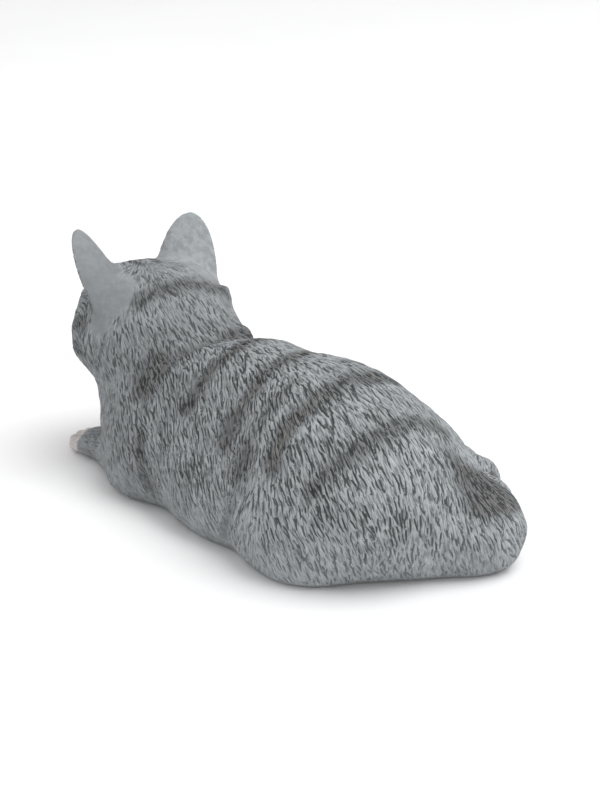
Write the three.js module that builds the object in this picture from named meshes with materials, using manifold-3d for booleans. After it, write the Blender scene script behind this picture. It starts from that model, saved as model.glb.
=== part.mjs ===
// A garden statue of a lying cat, cast in one piece, in millimetres with +Z up.
// It faces -Y and lies on a flat underside at z = 0, with its left side at +X. Its hips are rolled onto
// the left, so both hind legs point to its right, and the tail curls round that side under the upper paw.
// The body is one smooth skin round a set of overlapping masses: eggs for the rounded ones and tapered
// bones for limbs, neck and tail. The two ears are lofted and joined to the skull.
import * as THREE from "three";
import Module from "manifold-3d";
import { mergeVertices } from "three/addons/utils/BufferGeometryUtils.js";

// The driving sizes: from the tip of the nose to the back of the tail's bend, from the upper hind paw
// to the left haunch, and from the floor to the tips of the ears.
const LENGTH = 400;
const WIDTH = 240.7;
const HEIGHT = 191.3;
// The carving below is in shares, and these counts of them make up WIDTH, LENGTH and HEIGHT.
const SHARES = [59.45, 98.8, 47.25];
const SHARE = [WIDTH, LENGTH, HEIGHT].map((size, axis) => size / SHARES[axis]);

// Lower edge: how far up the sides begin to turn in towards the underside.
const TUCK = 1.6;

// Facets: the size of the skin's cells, fine round the head and forepaws and coarse elsewhere.
const FINE = 1.75;
const COARSE = 2.8;
const FINE_FROM = [-15.5, -56, 0];
const FINE_TO = [15.5, -30, 46];

// Head: the middle of the skull. The face and the ears are placed from it.
const HEAD_AT = [0, -36.5, 28.7];

const LEFT = 1;
const RIGHT = -1;
const SIDES = [LEFT, RIGHT];

// Ears: the two are carved a little differently. Aside is how far each stands from the middle of the
// skull, splay its turn to its own side in degrees, and roundness how full its outline is.
const EARS = [
  { side: LEFT, width: 12.4, height: 15.3, roundness: 1.8, aside: 7.7, splay: 4 },
  { side: RIGHT, width: 12.6, height: 14.6, roundness: 2, aside: 7.9, splay: 10.5 },
];
// Ears: thickness at the root and the tip, and how far the rims bow forwards.
const EAR_THICK = 1.75;
const EAR_TIP_THICK = 0.9;
const EAR_BOW = 2;
// Ears: how deep they stand in the skull, and how far they thicken there.
const EAR_ROOT = 4;
const EAR_FLARE = 1.5;
const EAR_FLARE_RISE = 2.5;
// Ears: how far behind and above the middle of the skull they stand, and how they turn outwards and
// lean forwards, in degrees.
const EAR_BEHIND = 1.7;
const EAR_ABOVE = 5.9;
const EAR_YAW = 25;
const EAR_LEAN = 35;
const EAR_ROWS = 12;
const EAR_COLUMNS = 9;

// A mass is a signed distance with the box that holds it, and blend is how far it flows into what is
// already there.

// An egg is a mass with a centre, three half sizes, and a turn about Z in degrees.
function egg(blend, centre, half, yaw = 0) {
  const turn = THREE.MathUtils.degToRad(yaw);
  const c = Math.cos(turn);
  const s = Math.sin(turn);
  const distance = (x, y, z) => {
    const dx = x - centre[0];
    const dy = y - centre[1];
    const a = (dx * c + dy * s) / half[0];
    const b = (dy * c - dx * s) / half[1];
    const h = (z - centre[2]) / half[2];
    const reach = Math.hypot(a, b, h);
    const slope = Math.hypot(a / half[0], b / half[1], h / half[2]);
    return reach < 1e-6 ? -Math.min(...half) : (reach * (reach - 1)) / slope;
  };
  const around = [Math.max(half[0], half[1]), Math.max(half[0], half[1]), half[2]];
  const low = centre.map((v, axis) => v - around[axis]);
  const high = centre.map((v, axis) => v + around[axis]);
  return { blend, distance, low, high };
}

// A bone is a straight limb from one centre to another, with a radius at each end.
function bone(blend, from, to, fromRadius, toRadius) {
  const run = to.map((v, i) => v - from[i]);
  const squared = run.reduce((sum, v) => sum + v * v, 0);
  const distance = (x, y, z) => {
    const dx = x - from[0];
    const dy = y - from[1];
    const dz = z - from[2];
    const along = THREE.MathUtils.clamp((dx * run[0] + dy * run[1] + dz * run[2]) / squared, 0, 1);
    const off = Math.hypot(dx - along * run[0], dy - along * run[1], dz - along * run[2]);
    return off - THREE.MathUtils.lerp(fromRadius, toRadius, along);
  };
  const low = from.map((v, axis) => Math.min(v - fromRadius, to[axis] - toRadius));
  const high = from.map((v, axis) => Math.max(v + fromRadius, to[axis] + toRadius));
  return { blend, distance, low, high };
}

// A chain is a limb of several bones, through points of the form [x, y, z, radius].
function chain(blend, points) {
  return points.slice(1).map((end, i) => {
    const start = points[i];
    return bone(blend, start.slice(0, 3), end.slice(0, 3), start[3], end[3]);
  });
}

function trunk() {
  return [
    egg(7.5, [1, -21, 14], [15, 16.5, 14.5]), // chest
    bone(10, [-1, -1.5, 19], [-2, 12.5, 18.6], 13.8, 13.6), // back and ribs
    egg(7.5, [2, 0, 7], [16.5, 23, 13.5]), // belly on the floor
    egg(10, [-2.3, 22.5, 13.5], [18.4, 20, 17.6]), // hips
    egg(5, [8.6, 21.2, 6.5], [9.3, 10.9, 11.5], 8), // left haunch, under the hips
    egg(6.5, [-15, 22, 9.5], [12, 17.5, 11.5], -14), // right haunch, on top
    bone(6, [-2.4, 28.2, 5], [-14, 38.8, 5.5], 6, 6.8), // edge of the rump towards the tail
  ];
}

function neckAndHead() {
  // A place given to one side of the middle of the skull, ahead of it (towards -Y) and above it.
  const from = (side, aside, ahead, above) => [
    HEAD_AT[0] + side * aside,
    HEAD_AT[1] - ahead,
    HEAD_AT[2] + above,
  ];
  const head = [
    bone(7.5, [1.5, -21, 16.5], [0.5, -31, 23], 10.5, 10.5), // neck
    egg(6, [-1, -28, 27], [10.5, 8.5, 8]), // nape
    bone(4, [-9.3, -31.3, 28.4], [-5.2, -19.3, 25.6], 5.3, 4.3), // ruff behind the right ear
    egg(7.5, [2, -30, 13.5], [11, 10.5, 13.5]), // breast
    egg(6.5, HEAD_AT, [13, 11.5, 11.4]), // skull
  ];
  for (const side of SIDES) {
    head.push(egg(4.5, from(side, 7.8, 1.1, -2.7), [8.1, 8.4, 7.2])); // cheek
    head.push(egg(2.5, from(side, 2.3, 10.5, -5.5), [3.5, 4, 3])); // half of the muzzle
  }
  head.push(egg(2.5, from(0, 0, 9, -8.2), [3.5, 3.5, 2.5])); // chin
  head.push(egg(2, from(0, 0, 12.3, -3.2), [2, 2, 1.5])); // nose
  head.push(egg(3.5, from(0, 0, 8.5, -1.2), [3, 4.5, 3.5])); // bridge of the nose
  for (const side of SIDES) {
    head.push(egg(1.2, from(side, 5.4, 8.7, -0.1), [2.7, 2.4, 2.2])); // eye
    head.push(egg(3, from(side, 7.8, -1.3, 4.3), [5.6, 2.8, 4.4], side * EAR_YAW)); // root of the ear
    head.push(egg(3, from(side, 8.9, 4.2, 3.6), [3.4, 3.8, 4.2])); // temple, under the ear's outer rim
  }
  return head;
}

// A paw is a low pad with four toes in a row at its front, turned by yaw about Z.
function paw(centre, half, yaw = 0) {
  const turn = THREE.MathUtils.degToRad(yaw);
  const parts = [egg(2, centre, half, yaw)];
  const toe = [half[0] * 0.34, half[1] * 0.42, half[2] * 0.8];
  for (let i = 0; i < 4; i++) {
    const across = (i - 1.5) * half[0] * 0.46;
    const ahead = -half[1] * (0.72 - 0.05 * (i - 1.5) ** 2);
    const x = centre[0] + across * Math.cos(turn) - ahead * Math.sin(turn);
    const y = centre[1] + across * Math.sin(turn) + ahead * Math.cos(turn);
    parts.push(egg(0.8, [x, y, centre[2] - half[2] * 0.1], toe, yaw));
  }
  return parts;
}

function forelegs() {
  return [
    egg(5.5, [12.7, -20.8, 7.5], [6.3, 10, 9]), // left shoulder and elbow
    bone(3.5, [13, -22.5, 4], [10, -41.5, 3], 5, 3),
    ...paw([10.2, -42.8, 2.2], [4, 4.8, 2.7]),
    egg(5.5, [-12.5, -21.5, 7.5], [6, 10, 8.5]), // right shoulder and elbow
    bone(3.5, [-12, -22.5, 4], [-9, -41.5, 3], 5, 3),
    ...paw([-8.8, -43.2, 2.2], [4, 4.8, 2.7]),
  ];
}

function tail() {
  return [
    bone(7.5, [-8.5, 34, 8.5], [-17.3, 40, 6.5], 7.5, 6.2),
    ...chain(2.8, [
      [-17.3, 40, 6, 6.1],
      [-24.3, 33.2, 5.3, 5.2],
      [-31.5, 22.5, 4.8, 4.8],
      [-34, 11, 3.6, 3.8],
      [-31.5, 2, 2.8, 2.8],
    ]),
  ];
}

function hindLegs() {
  return [
    bone(3.5, [-20, 17, 8.5], [-32.5, 16, 6.8], 5.5, 3.5), // upper leg, across the tail
    ...paw([-35.2, 12.8, 6.3], [3.6, 5.4, 2.9], -25),
    bone(3, [-12.5, 5, 4.5], [-19.5, -7, 3.2], 4.5, 3), // lower leg, from under the belly
    ...paw([-20.5, -9.5, 2.4], [3.8, 5, 2.9], -10),
  ];
}

// Joins one more mass to a distance so that the hollow between them fills smoothly.
function melt(a, b, blend) {
  const overlap = Math.max(blend - Math.abs(a - b), 0) / blend;
  return Math.min(a, b) - (overlap * overlap * blend) / 4;
}

// How far the skin is drawn in at a height above the floor: nothing above TUCK, and more below it.
function tuckedIn(z) {
  const below = Math.max(TUCK - z, 0);
  return (below * below) / (2 * TUCK);
}

// Signed distance to the skin, in shares: negative inside.
function skinDistance(masses, x, y, z) {
  let d = Infinity;
  for (const { blend, distance } of masses) {
    const next = distance(x, y, z);
    d = d === Infinity ? next : melt(d, next, blend);
  }
  return d + tuckedIn(z);
}

// Slides a point down the slope of the distance onto the skin, by no more than half a fine cell.
function settle(masses, point) {
  const small = FINE / 40;
  const settled = [...point];
  for (let step = 0; step < 3; step++) {
    const d = skinDistance(masses, ...settled);
    const slope = [0, 1, 2].map((axis) => {
      const ahead = [...settled];
      ahead[axis] += small;
      return (skinDistance(masses, ...ahead) - d) / small;
    });
    const steepness = slope.reduce((sum, v) => sum + v * v, 0);
    slope.forEach((v, axis) => (settled[axis] -= (d * v) / Math.max(steepness, 0.1)));
  }
  const moved = settled.map((v, axis) => v - point[axis]);
  const share = Math.min(1, FINE / 2 / Math.max(Math.hypot(...moved), 1e-9));
  return point.map((v, axis) => v + moved[axis] * share);
}

// Lines of the grid along one axis: fine steps within the fine bounds and coarse ones outside them,
// to two coarse cells past every mass.
function gridLines(masses, axis) {
  const low = Math.min(FINE_FROM[axis], ...masses.map((mass) => mass.low[axis]));
  const high = Math.max(FINE_TO[axis], ...masses.map((mass) => mass.high[axis]));
  const stops = [low - 2 * COARSE, FINE_FROM[axis], FINE_TO[axis], high + 2 * COARSE];
  const steps = [COARSE, FINE, COARSE];
  const lines = [stops[0]];
  steps.forEach((step, i) => {
    const run = stops[i + 1] - stops[i];
    const count = Math.ceil(run / step);
    for (let k = 1; k <= count; k++) lines.push(stops[i] + (run * k) / count);
  });
  return lines;
}

// Where two corners of a grid face are inside and lie across from each other, the skin would touch
// itself along an edge. A mould can't hold so thin a gap, so the other two corners are filled.
function fillPinches(values, size, strides) {
  const inside = (corner) => values[corner] < 0;
  let filled = true;
  while (filled) {
    filled = false;
    for (let here = 0; here < values.length; here++)
      for (let axis = 0; axis < 3; axis++) {
        const across = strides[axis];
        const up = strides[(axis + 1) % 3];
        const corners = [here, here + across, here + across + up, here + up];
        if (corners[2] >= values.length) continue;
        const [a, b, c, d] = corners.map(inside);
        if (a !== c || b !== d || a === b) continue;
        for (const corner of corners) if (!inside(corner)) values[corner] = -FINE / 3;
        filled = true;
      }
  }
}

// The skin as one closed mesh: each cell that the surface crosses gets a vertex at the mean of its
// crossings, settled onto the surface, and each crossed grid edge joins the vertices of its four cells
// into two triangles.
function skinGeometry(masses) {
  const lines = [0, 1, 2].map((axis) => gridLines(masses, axis));
  const size = lines.map((l) => l.length);
  const at = (i, j, k) => (i * size[1] + j) * size[2] + k;
  const values = new Float64Array(size[0] * size[1] * size[2]);
  for (let i = 0; i < size[0]; i++)
    for (let j = 0; j < size[1]; j++)
      for (let k = 0; k < size[2]; k++)
        values[at(i, j, k)] = skinDistance(masses, lines[0][i], lines[1][j], lines[2][k]);

  const strides = [size[1] * size[2], size[2], 1];
  fillPinches(values, size, strides);

  const sums = new Map();
  const crossings = [];
  for (let i = 1; i < size[0] - 1; i++)
    for (let j = 1; j < size[1] - 1; j++)
      for (let k = 1; k < size[2] - 1; k++)
        for (let axis = 0; axis < 3; axis++) {
          const here = at(i, j, k);
          const next = here + strides[axis];
          if (values[here] < 0 === values[next] < 0) continue;
          const point = [lines[0][i], lines[1][j], lines[2][k]];
          const index = [i, j, k][axis];
          const part = values[here] / (values[here] - values[next]);
          point[axis] = THREE.MathUtils.lerp(lines[axis][index], lines[axis][index + 1], part);
          const across = strides[(axis + 1) % 3];
          const up = strides[(axis + 2) % 3];
          const cells = [here - across - up, here - up, here, here - across];
          for (const cell of cells) {
            const sum = sums.get(cell) ?? [0, 0, 0, 0];
            point.forEach((v, n) => (sum[n] += v));
            sum[3] += 1;
            sums.set(cell, sum);
          }
          crossings.push(values[here] < 0 ? cells : cells.reverse());
        }

  const order = new Map();
  const positions = [];
  for (const [cell, sum] of sums) {
    order.set(cell, order.size);
    const mean = sum.slice(0, 3).map((v) => v / sum[3]);
    positions.push(...settle(masses, mean).map((v, axis) => v * SHARE[axis]));
  }
  const index = [];
  for (const [a, b, c, d] of crossings.map((cells) => cells.map((cell) => order.get(cell)))) {
    index.push(a, b, c, a, c, d);
  }
  return new THREE.BufferGeometry()
    .setAttribute("position", new THREE.Float32BufferAttribute(positions, 3))
    .setIndex(index);
}

// Half an ear's width at a height above its base, which narrows to a rounded tip.
function earHalfWidth(ear, height) {
  const rise = THREE.MathUtils.clamp(height / ear.height, 0, 1);
  return (ear.width / 2) * Math.sqrt(1 - rise ** ear.roundness);
}

// Half the ear's thickness at a height: thinner towards the tip, and flared where it leaves the skull.
function earHalfThickness(ear, height) {
  const rise = height / ear.height;
  const flare = 1 + EAR_FLARE * Math.exp(-(height + EAR_ROOT) / EAR_FLARE_RISE);
  return (THREE.MathUtils.lerp(EAR_THICK, EAR_TIP_THICK, rise) / 2) * flare;
}

// One ear as a loft of rings from its root up to the tip. Each ring runs along the hollow front and
// back along the bulging rear, which meet at the rims.
function earGeometry(ear) {
  const positions = [];
  const index = [];
  const ring = 2 * EAR_COLUMNS;
  for (let row = 0; row < EAR_ROWS; row++) {
    // The last ring stops just short of the tip, where its width would be nothing.
    const climb = Math.sin(((row + 1) / (EAR_ROWS + 1)) * (Math.PI / 2));
    const height = THREE.MathUtils.lerp(-EAR_ROOT, ear.height, climb);
    const halfWidth = earHalfWidth(ear, height);
    const halfThickness = earHalfThickness(ear, height);
    for (let i = 0; i < ring; i++) {
      const angle = (i / ring) * 2 * Math.PI;
      const across = Math.cos(angle) * halfWidth;
      const bow = EAR_BOW * (across / (ear.width / 2)) ** 2;
      positions.push(across, Math.sin(angle) * halfThickness - bow, height);
    }
  }
  const foot = EAR_ROWS * ring;
  const tip = foot + 1;
  positions.push(0, 0, -EAR_ROOT);
  positions.push(0, 0, ear.height);
  for (let i = 0; i < ring; i++) {
    const j = (i + 1) % ring;
    for (let row = 0; row < EAR_ROWS - 1; row++) {
      const low = row * ring;
      const high = low + ring;
      index.push(low + i, low + j, high + j, low + i, high + j, high + i);
    }
    const top = (EAR_ROWS - 1) * ring;
    index.push(j, i, foot);
    index.push(top + i, top + j, tip);
  }
  return new THREE.BufferGeometry()
    .setAttribute("position", new THREE.Float32BufferAttribute(positions, 3))
    .setIndex(index);
}

// The ear in its place on the skull: splayed to its side, leant forwards and turned outwards.
function placedEar(ear) {
  const [yaw, lean, splay] = [EAR_YAW, EAR_LEAN, ear.splay].map(THREE.MathUtils.degToRad);
  const place = new THREE.Matrix4().makeScale(...SHARE);
  const foot = [HEAD_AT[0] + ear.side * ear.aside, HEAD_AT[1] + EAR_BEHIND, HEAD_AT[2] + EAR_ABOVE];
  place.multiply(new THREE.Matrix4().makeTranslation(...foot));
  place.multiply(new THREE.Matrix4().makeRotationZ(ear.side * yaw));
  place.multiply(new THREE.Matrix4().makeRotationX(lean));
  place.multiply(new THREE.Matrix4().makeRotationY(ear.side * splay));
  return earGeometry(ear).applyMatrix4(place);
}

const wasm = await Module();
wasm.setup();

// A closed mesh as a solid that can be joined and cut.
function solidFrom(geometry) {
  const bare = new THREE.BufferGeometry().setAttribute("position", geometry.getAttribute("position"));
  if (geometry.index) bare.setIndex(geometry.index);
  const merged = mergeVertices(bare, 1e-4);
  const vertProperties = merged.getAttribute("position").array;
  const triVerts = new Uint32Array(merged.index.array);
  return new wasm.Manifold(new wasm.Mesh({ numProp: 3, vertProperties, triVerts }));
}

// A solid as a mesh geometry.
function geometryFrom(solid) {
  const { vertProperties, triVerts, numProp } = solid.getMesh();
  const positions = new Float32Array((vertProperties.length / numProp) * 3);
  for (let i = 0; i < positions.length / 3; i++) {
    positions.set(vertProperties.subarray(i * numProp, i * numProp + 3), i * 3);
  }
  const geometry = new THREE.BufferGeometry()
    .setAttribute("position", new THREE.BufferAttribute(positions, 3))
    .setIndex(new THREE.BufferAttribute(triVerts, 1));
  geometry.computeVertexNormals();
  return geometry;
}

// A block over all the room above the floor, which cuts the underside flat.
function aboveFloor() {
  const side = LENGTH * 2;
  return solidFrom(new THREE.BoxGeometry(side, side, side).translate(0, 0, side / 2));
}

const masses = [...trunk(), ...neckAndHead(), ...forelegs(), ...tail(), ...hindLegs()];
const ears = EARS.map((ear) => solidFrom(placedEar(ear)));
const casting = ears.reduce((solid, ear) => solid.add(ear), solidFrom(skinGeometry(masses)));

const cat = new THREE.Mesh(
  geometryFrom(casting.intersect(aboveFloor())),
  new THREE.MeshStandardMaterial({ color: 0x7f868b, roughness: 0.78, metalness: 0 }),
);
cat.name = "cat";

const statue = new THREE.Group();
statue.add(cat);

export default statue;
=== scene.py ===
"""The look of a lying cat garden statue: carved and painted fur on one cast body.

The body is one smooth skin round overlapping masses, the same masses that the solid has, worked out
finely enough to carry the tool strokes of its fur. Lengths are in shares, of which the cat is 98.8
long, except in the studio, and the piece is turned into metres when its mesh is made.
"""

import logging
import math
from dataclasses import dataclass, field
from enum import Enum
from typing import Any, Sequence

import bpy
import numpy as np
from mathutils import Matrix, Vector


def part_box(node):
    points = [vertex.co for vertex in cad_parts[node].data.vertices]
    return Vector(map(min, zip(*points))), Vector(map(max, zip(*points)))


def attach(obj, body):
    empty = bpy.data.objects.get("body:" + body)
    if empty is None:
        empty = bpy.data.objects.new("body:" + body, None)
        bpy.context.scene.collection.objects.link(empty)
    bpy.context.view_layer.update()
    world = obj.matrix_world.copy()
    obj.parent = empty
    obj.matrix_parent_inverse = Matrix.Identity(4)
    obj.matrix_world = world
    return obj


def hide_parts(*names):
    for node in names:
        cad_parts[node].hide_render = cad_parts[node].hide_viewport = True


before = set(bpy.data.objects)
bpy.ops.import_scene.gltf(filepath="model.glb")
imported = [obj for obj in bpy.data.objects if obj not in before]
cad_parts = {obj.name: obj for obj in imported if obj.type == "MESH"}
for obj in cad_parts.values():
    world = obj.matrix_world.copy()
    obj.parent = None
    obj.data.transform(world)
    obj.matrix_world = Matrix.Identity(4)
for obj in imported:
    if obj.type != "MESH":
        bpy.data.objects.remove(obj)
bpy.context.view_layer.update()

log = logging.getLogger("cat")

SHARES_LONG = 98.8
"""The cat's length in shares, from its nose to the back of the tail's bend."""

CAD_LOW, CAD_HIGH = (np.array(corner, float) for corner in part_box("cat"))
SHARE = float(CAD_HIGH[1] - CAD_LOW[1]) / SHARES_LONG
"""One share in metres."""

ON_FLOOR = 1e-4
"""Points lower than this lie on the floor."""

Array = np.ndarray
Triple = tuple[float, float, float]
Colour = tuple[float, float, float, float]


class Lay(Enum):
    """Which way the coat runs over a mass."""

    SPINE = "down the slope and back from the head"
    NOSE = "away from the nose"
    LIMB = "along the limb"
    NONE = "bare"


def unit(vectors: Array) -> Array:
    """Return the vectors at length one."""
    return vectors / np.maximum(np.linalg.norm(vectors, axis=-1, keepdims=True), 1e-9)


def ramp(values: Array) -> Array:
    """Return a smooth rise from 0 to 1 round nought: (1 + tanh(v / 2)) / 2."""
    return 0.5 + 0.5 * np.tanh(values / 2)


def melt(a: Array, b: Array, blend: float) -> Array:
    """Join two distances so that the hollow between them fills smoothly.

    The smaller distance, less a quarter of the blend times the square of the overlap's share of it.

    Args:
        a: First distance.
        b: Second distance.
        blend: How far each flows into the other.

    Returns:
        The joined distance.
    """
    overlap = np.maximum(blend - np.abs(a - b), 0) / blend
    return np.minimum(a, b) - overlap * overlap * (blend / 4)


@dataclass(frozen=True)
class Egg:
    """A rounded mass with a centre, three half sizes and a turn about the upright, in degrees."""

    blend: float
    centre: Triple
    half: Triple
    yaw: float = 0.0
    lay: Lay = Lay.SPINE

    def distance(self, points: Array) -> Array:
        """Return the distance to the skin.

        It is k0 (k0 - 1) / k1, with k0 the length of the point over the half sizes, and k1 its
        length over their squares.
        """
        turn = math.radians(self.yaw)
        c, s = math.cos(turn), math.sin(turn)
        dx = points[:, 0] - self.centre[0]
        dy = points[:, 1] - self.centre[1]
        a = (dx * c + dy * s) / self.half[0]
        b = (dy * c - dx * s) / self.half[1]
        h = (points[:, 2] - self.centre[2]) / self.half[2]
        k0 = np.sqrt(a * a + b * b + h * h)
        k1 = np.sqrt((a / self.half[0]) ** 2 + (b / self.half[1]) ** 2 + (h / self.half[2]) ** 2)
        return np.where(k0 > 1e-4, k0 * (k0 - 1) / np.maximum(k1, 1e-6), -min(self.half))

    def along(self) -> Array:
        """Return the way the coat runs on a limb's egg: forwards along its own length."""
        turn = math.radians(self.yaw)
        return np.array([math.sin(turn), -math.cos(turn), -0.1])


@dataclass(frozen=True)
class Bone:
    """A limb with round ends: two points and the radius at each."""

    blend: float
    start: Triple
    end: Triple
    start_radius: float
    end_radius: float
    lay: Lay = Lay.SPINE

    def distance(self, points: Array) -> Array:
        """Return the distance to the skin.

        How far the point is from the middle line, less the radius that the line has at the nearest
        place on it.
        """
        start = np.array(self.start, np.float32)
        line = np.array(self.end, np.float32) - start
        share = np.clip(((points - start) @ line) / float(line @ line), 0, 1)
        away = points - start - share[:, None] * line
        radius = self.start_radius + (self.end_radius - self.start_radius) * share
        return np.sqrt((away * away).sum(1)) - radius

    def along(self) -> Array:
        """Return the way from the start to the end."""
        return unit(np.array(self.end, float) - np.array(self.start, float))


@dataclass(frozen=True)
class Ear:
    """A bowed leaf that narrows to a rounded tip, hollow at its front."""

    side: int
    width: float
    height: float
    roundness: float
    aside: float
    splay: float
    blend: float = 1.5
    behind: float = -34.8
    above: float = 34.6
    thick: float = 1.75
    tip_thick: float = 0.9
    bow: float = 2.0
    root: float = 4.0
    flare: float = 1.5
    flare_rise: float = 2.5
    yaw: float = 25.0
    lean: float = 35.0
    lay: Lay = Lay.NONE

    def turned(self) -> Array:
        """Return the turn from the ear's own axes (across, rearwards, up) to the statue's."""
        yaw, lean, splay = np.radians([self.side * self.yaw, self.lean, self.side * self.splay])
        about_z = [[np.cos(yaw), -np.sin(yaw), 0], [np.sin(yaw), np.cos(yaw), 0], [0, 0, 1]]
        about_x = [[1, 0, 0], [0, np.cos(lean), -np.sin(lean)], [0, np.sin(lean), np.cos(lean)]]
        about_y = [[np.cos(splay), 0, np.sin(splay)], [0, 1, 0], [-np.sin(splay), 0, np.cos(splay)]]
        return (np.array(about_z) @ np.array(about_x) @ np.array(about_y)).astype(np.float32)

    def local(self, points: Array) -> Array:
        """Return the points in the ear's own axes, from its foot."""
        foot = np.array([self.side * self.aside, self.behind, self.above], np.float32)
        return (points - foot) @ self.turned()

    def distance(self, points: Array) -> Array:
        """Return the distance to the leaf.

        Every level section is an ellipse whose half width is that of the outline,
        sqrt(1 - rise ** roundness), and whose middle line bows forwards with the square of the way
        across. Its distance is k0 (k0 - 1) / k1, as an egg's is.
        """
        across, rear, up = self.local(points).T
        rise = np.clip(up / self.height, 0, 1)
        half_width = (self.width / 2) * np.sqrt(np.maximum(1 - rise**self.roundness, 1e-4))
        flare = 1 + self.flare * np.exp(-(np.maximum(up, -self.root) + self.root) / self.flare_rise)
        half_thick = (self.thick + (self.tip_thick - self.thick) * up / self.height) / 2 * flare
        half_thick = np.maximum(half_thick, self.tip_thick / 2)
        bowed = rear + self.bow * (across / (self.width / 2)) ** 2
        k0 = np.sqrt((across / half_width) ** 2 + (bowed / half_thick) ** 2)
        k1 = np.sqrt((across / half_width**2) ** 2 + (bowed / half_thick**2) ** 2)
        leaf = np.where(k0 > 1e-3, k0 * (k0 - 1) / np.maximum(k1, 1e-6), -half_thick)
        return np.maximum(np.maximum(leaf, up - self.height), -self.root - up)

    def along(self) -> Array:
        """Return the way up the ear."""
        return self.turned()[:, 2].astype(float)


Mass = Egg | Bone | Ear


def paw(centre: Triple, half: Triple, yaw: float = 0.0) -> list[Mass]:
    """Return a low pad with four toes in a row at its front.

    Args:
        centre: Middle of the pad.
        half: Its half sizes.
        yaw: Its turn about the upright, in degrees.

    Returns:
        The pad and the toes.
    """
    turn = math.radians(yaw)
    masses: list[Mass] = [Egg(2, centre, half, yaw, Lay.LIMB)]
    toe = (half[0] * 0.34, half[1] * 0.42, half[2] * 0.8)
    for i in range(4):
        across = (i - 1.5) * half[0] * 0.46
        ahead = -half[1] * (0.72 - 0.05 * (i - 1.5) ** 2)
        x = centre[0] + across * math.cos(turn) - ahead * math.sin(turn)
        y = centre[1] + across * math.sin(turn) + ahead * math.cos(turn)
        masses.append(Egg(0.8, (x, y, centre[2] - half[2] * 0.1), toe, yaw, Lay.LIMB))
    return masses


PAWS: tuple[tuple[Triple, Triple, float], ...] = (
    ((10.2, -42.8, 2.2), (4, 4.8, 2.7), 0),
    ((-8.8, -43.2, 2.2), (4, 4.8, 2.7), 0),
    ((-35.2, 12.8, 6.3), (3.6, 5.4, 2.9), -25),
    ((-20.5, -9.5, 2.4), (3.8, 5, 2.9), -10),
)
"""Each paw's middle, half sizes and turn in degrees."""


def chain(blend: float, points: Sequence[tuple[float, float, float, float]]) -> list[Mass]:
    """Return a limb of several bones through points of the form (x, y, z, radius)."""
    return [
        Bone(blend, a[:3], b[:3], a[3], b[3], Lay.LIMB) for a, b in zip(points[:-1], points[1:])
    ]


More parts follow.
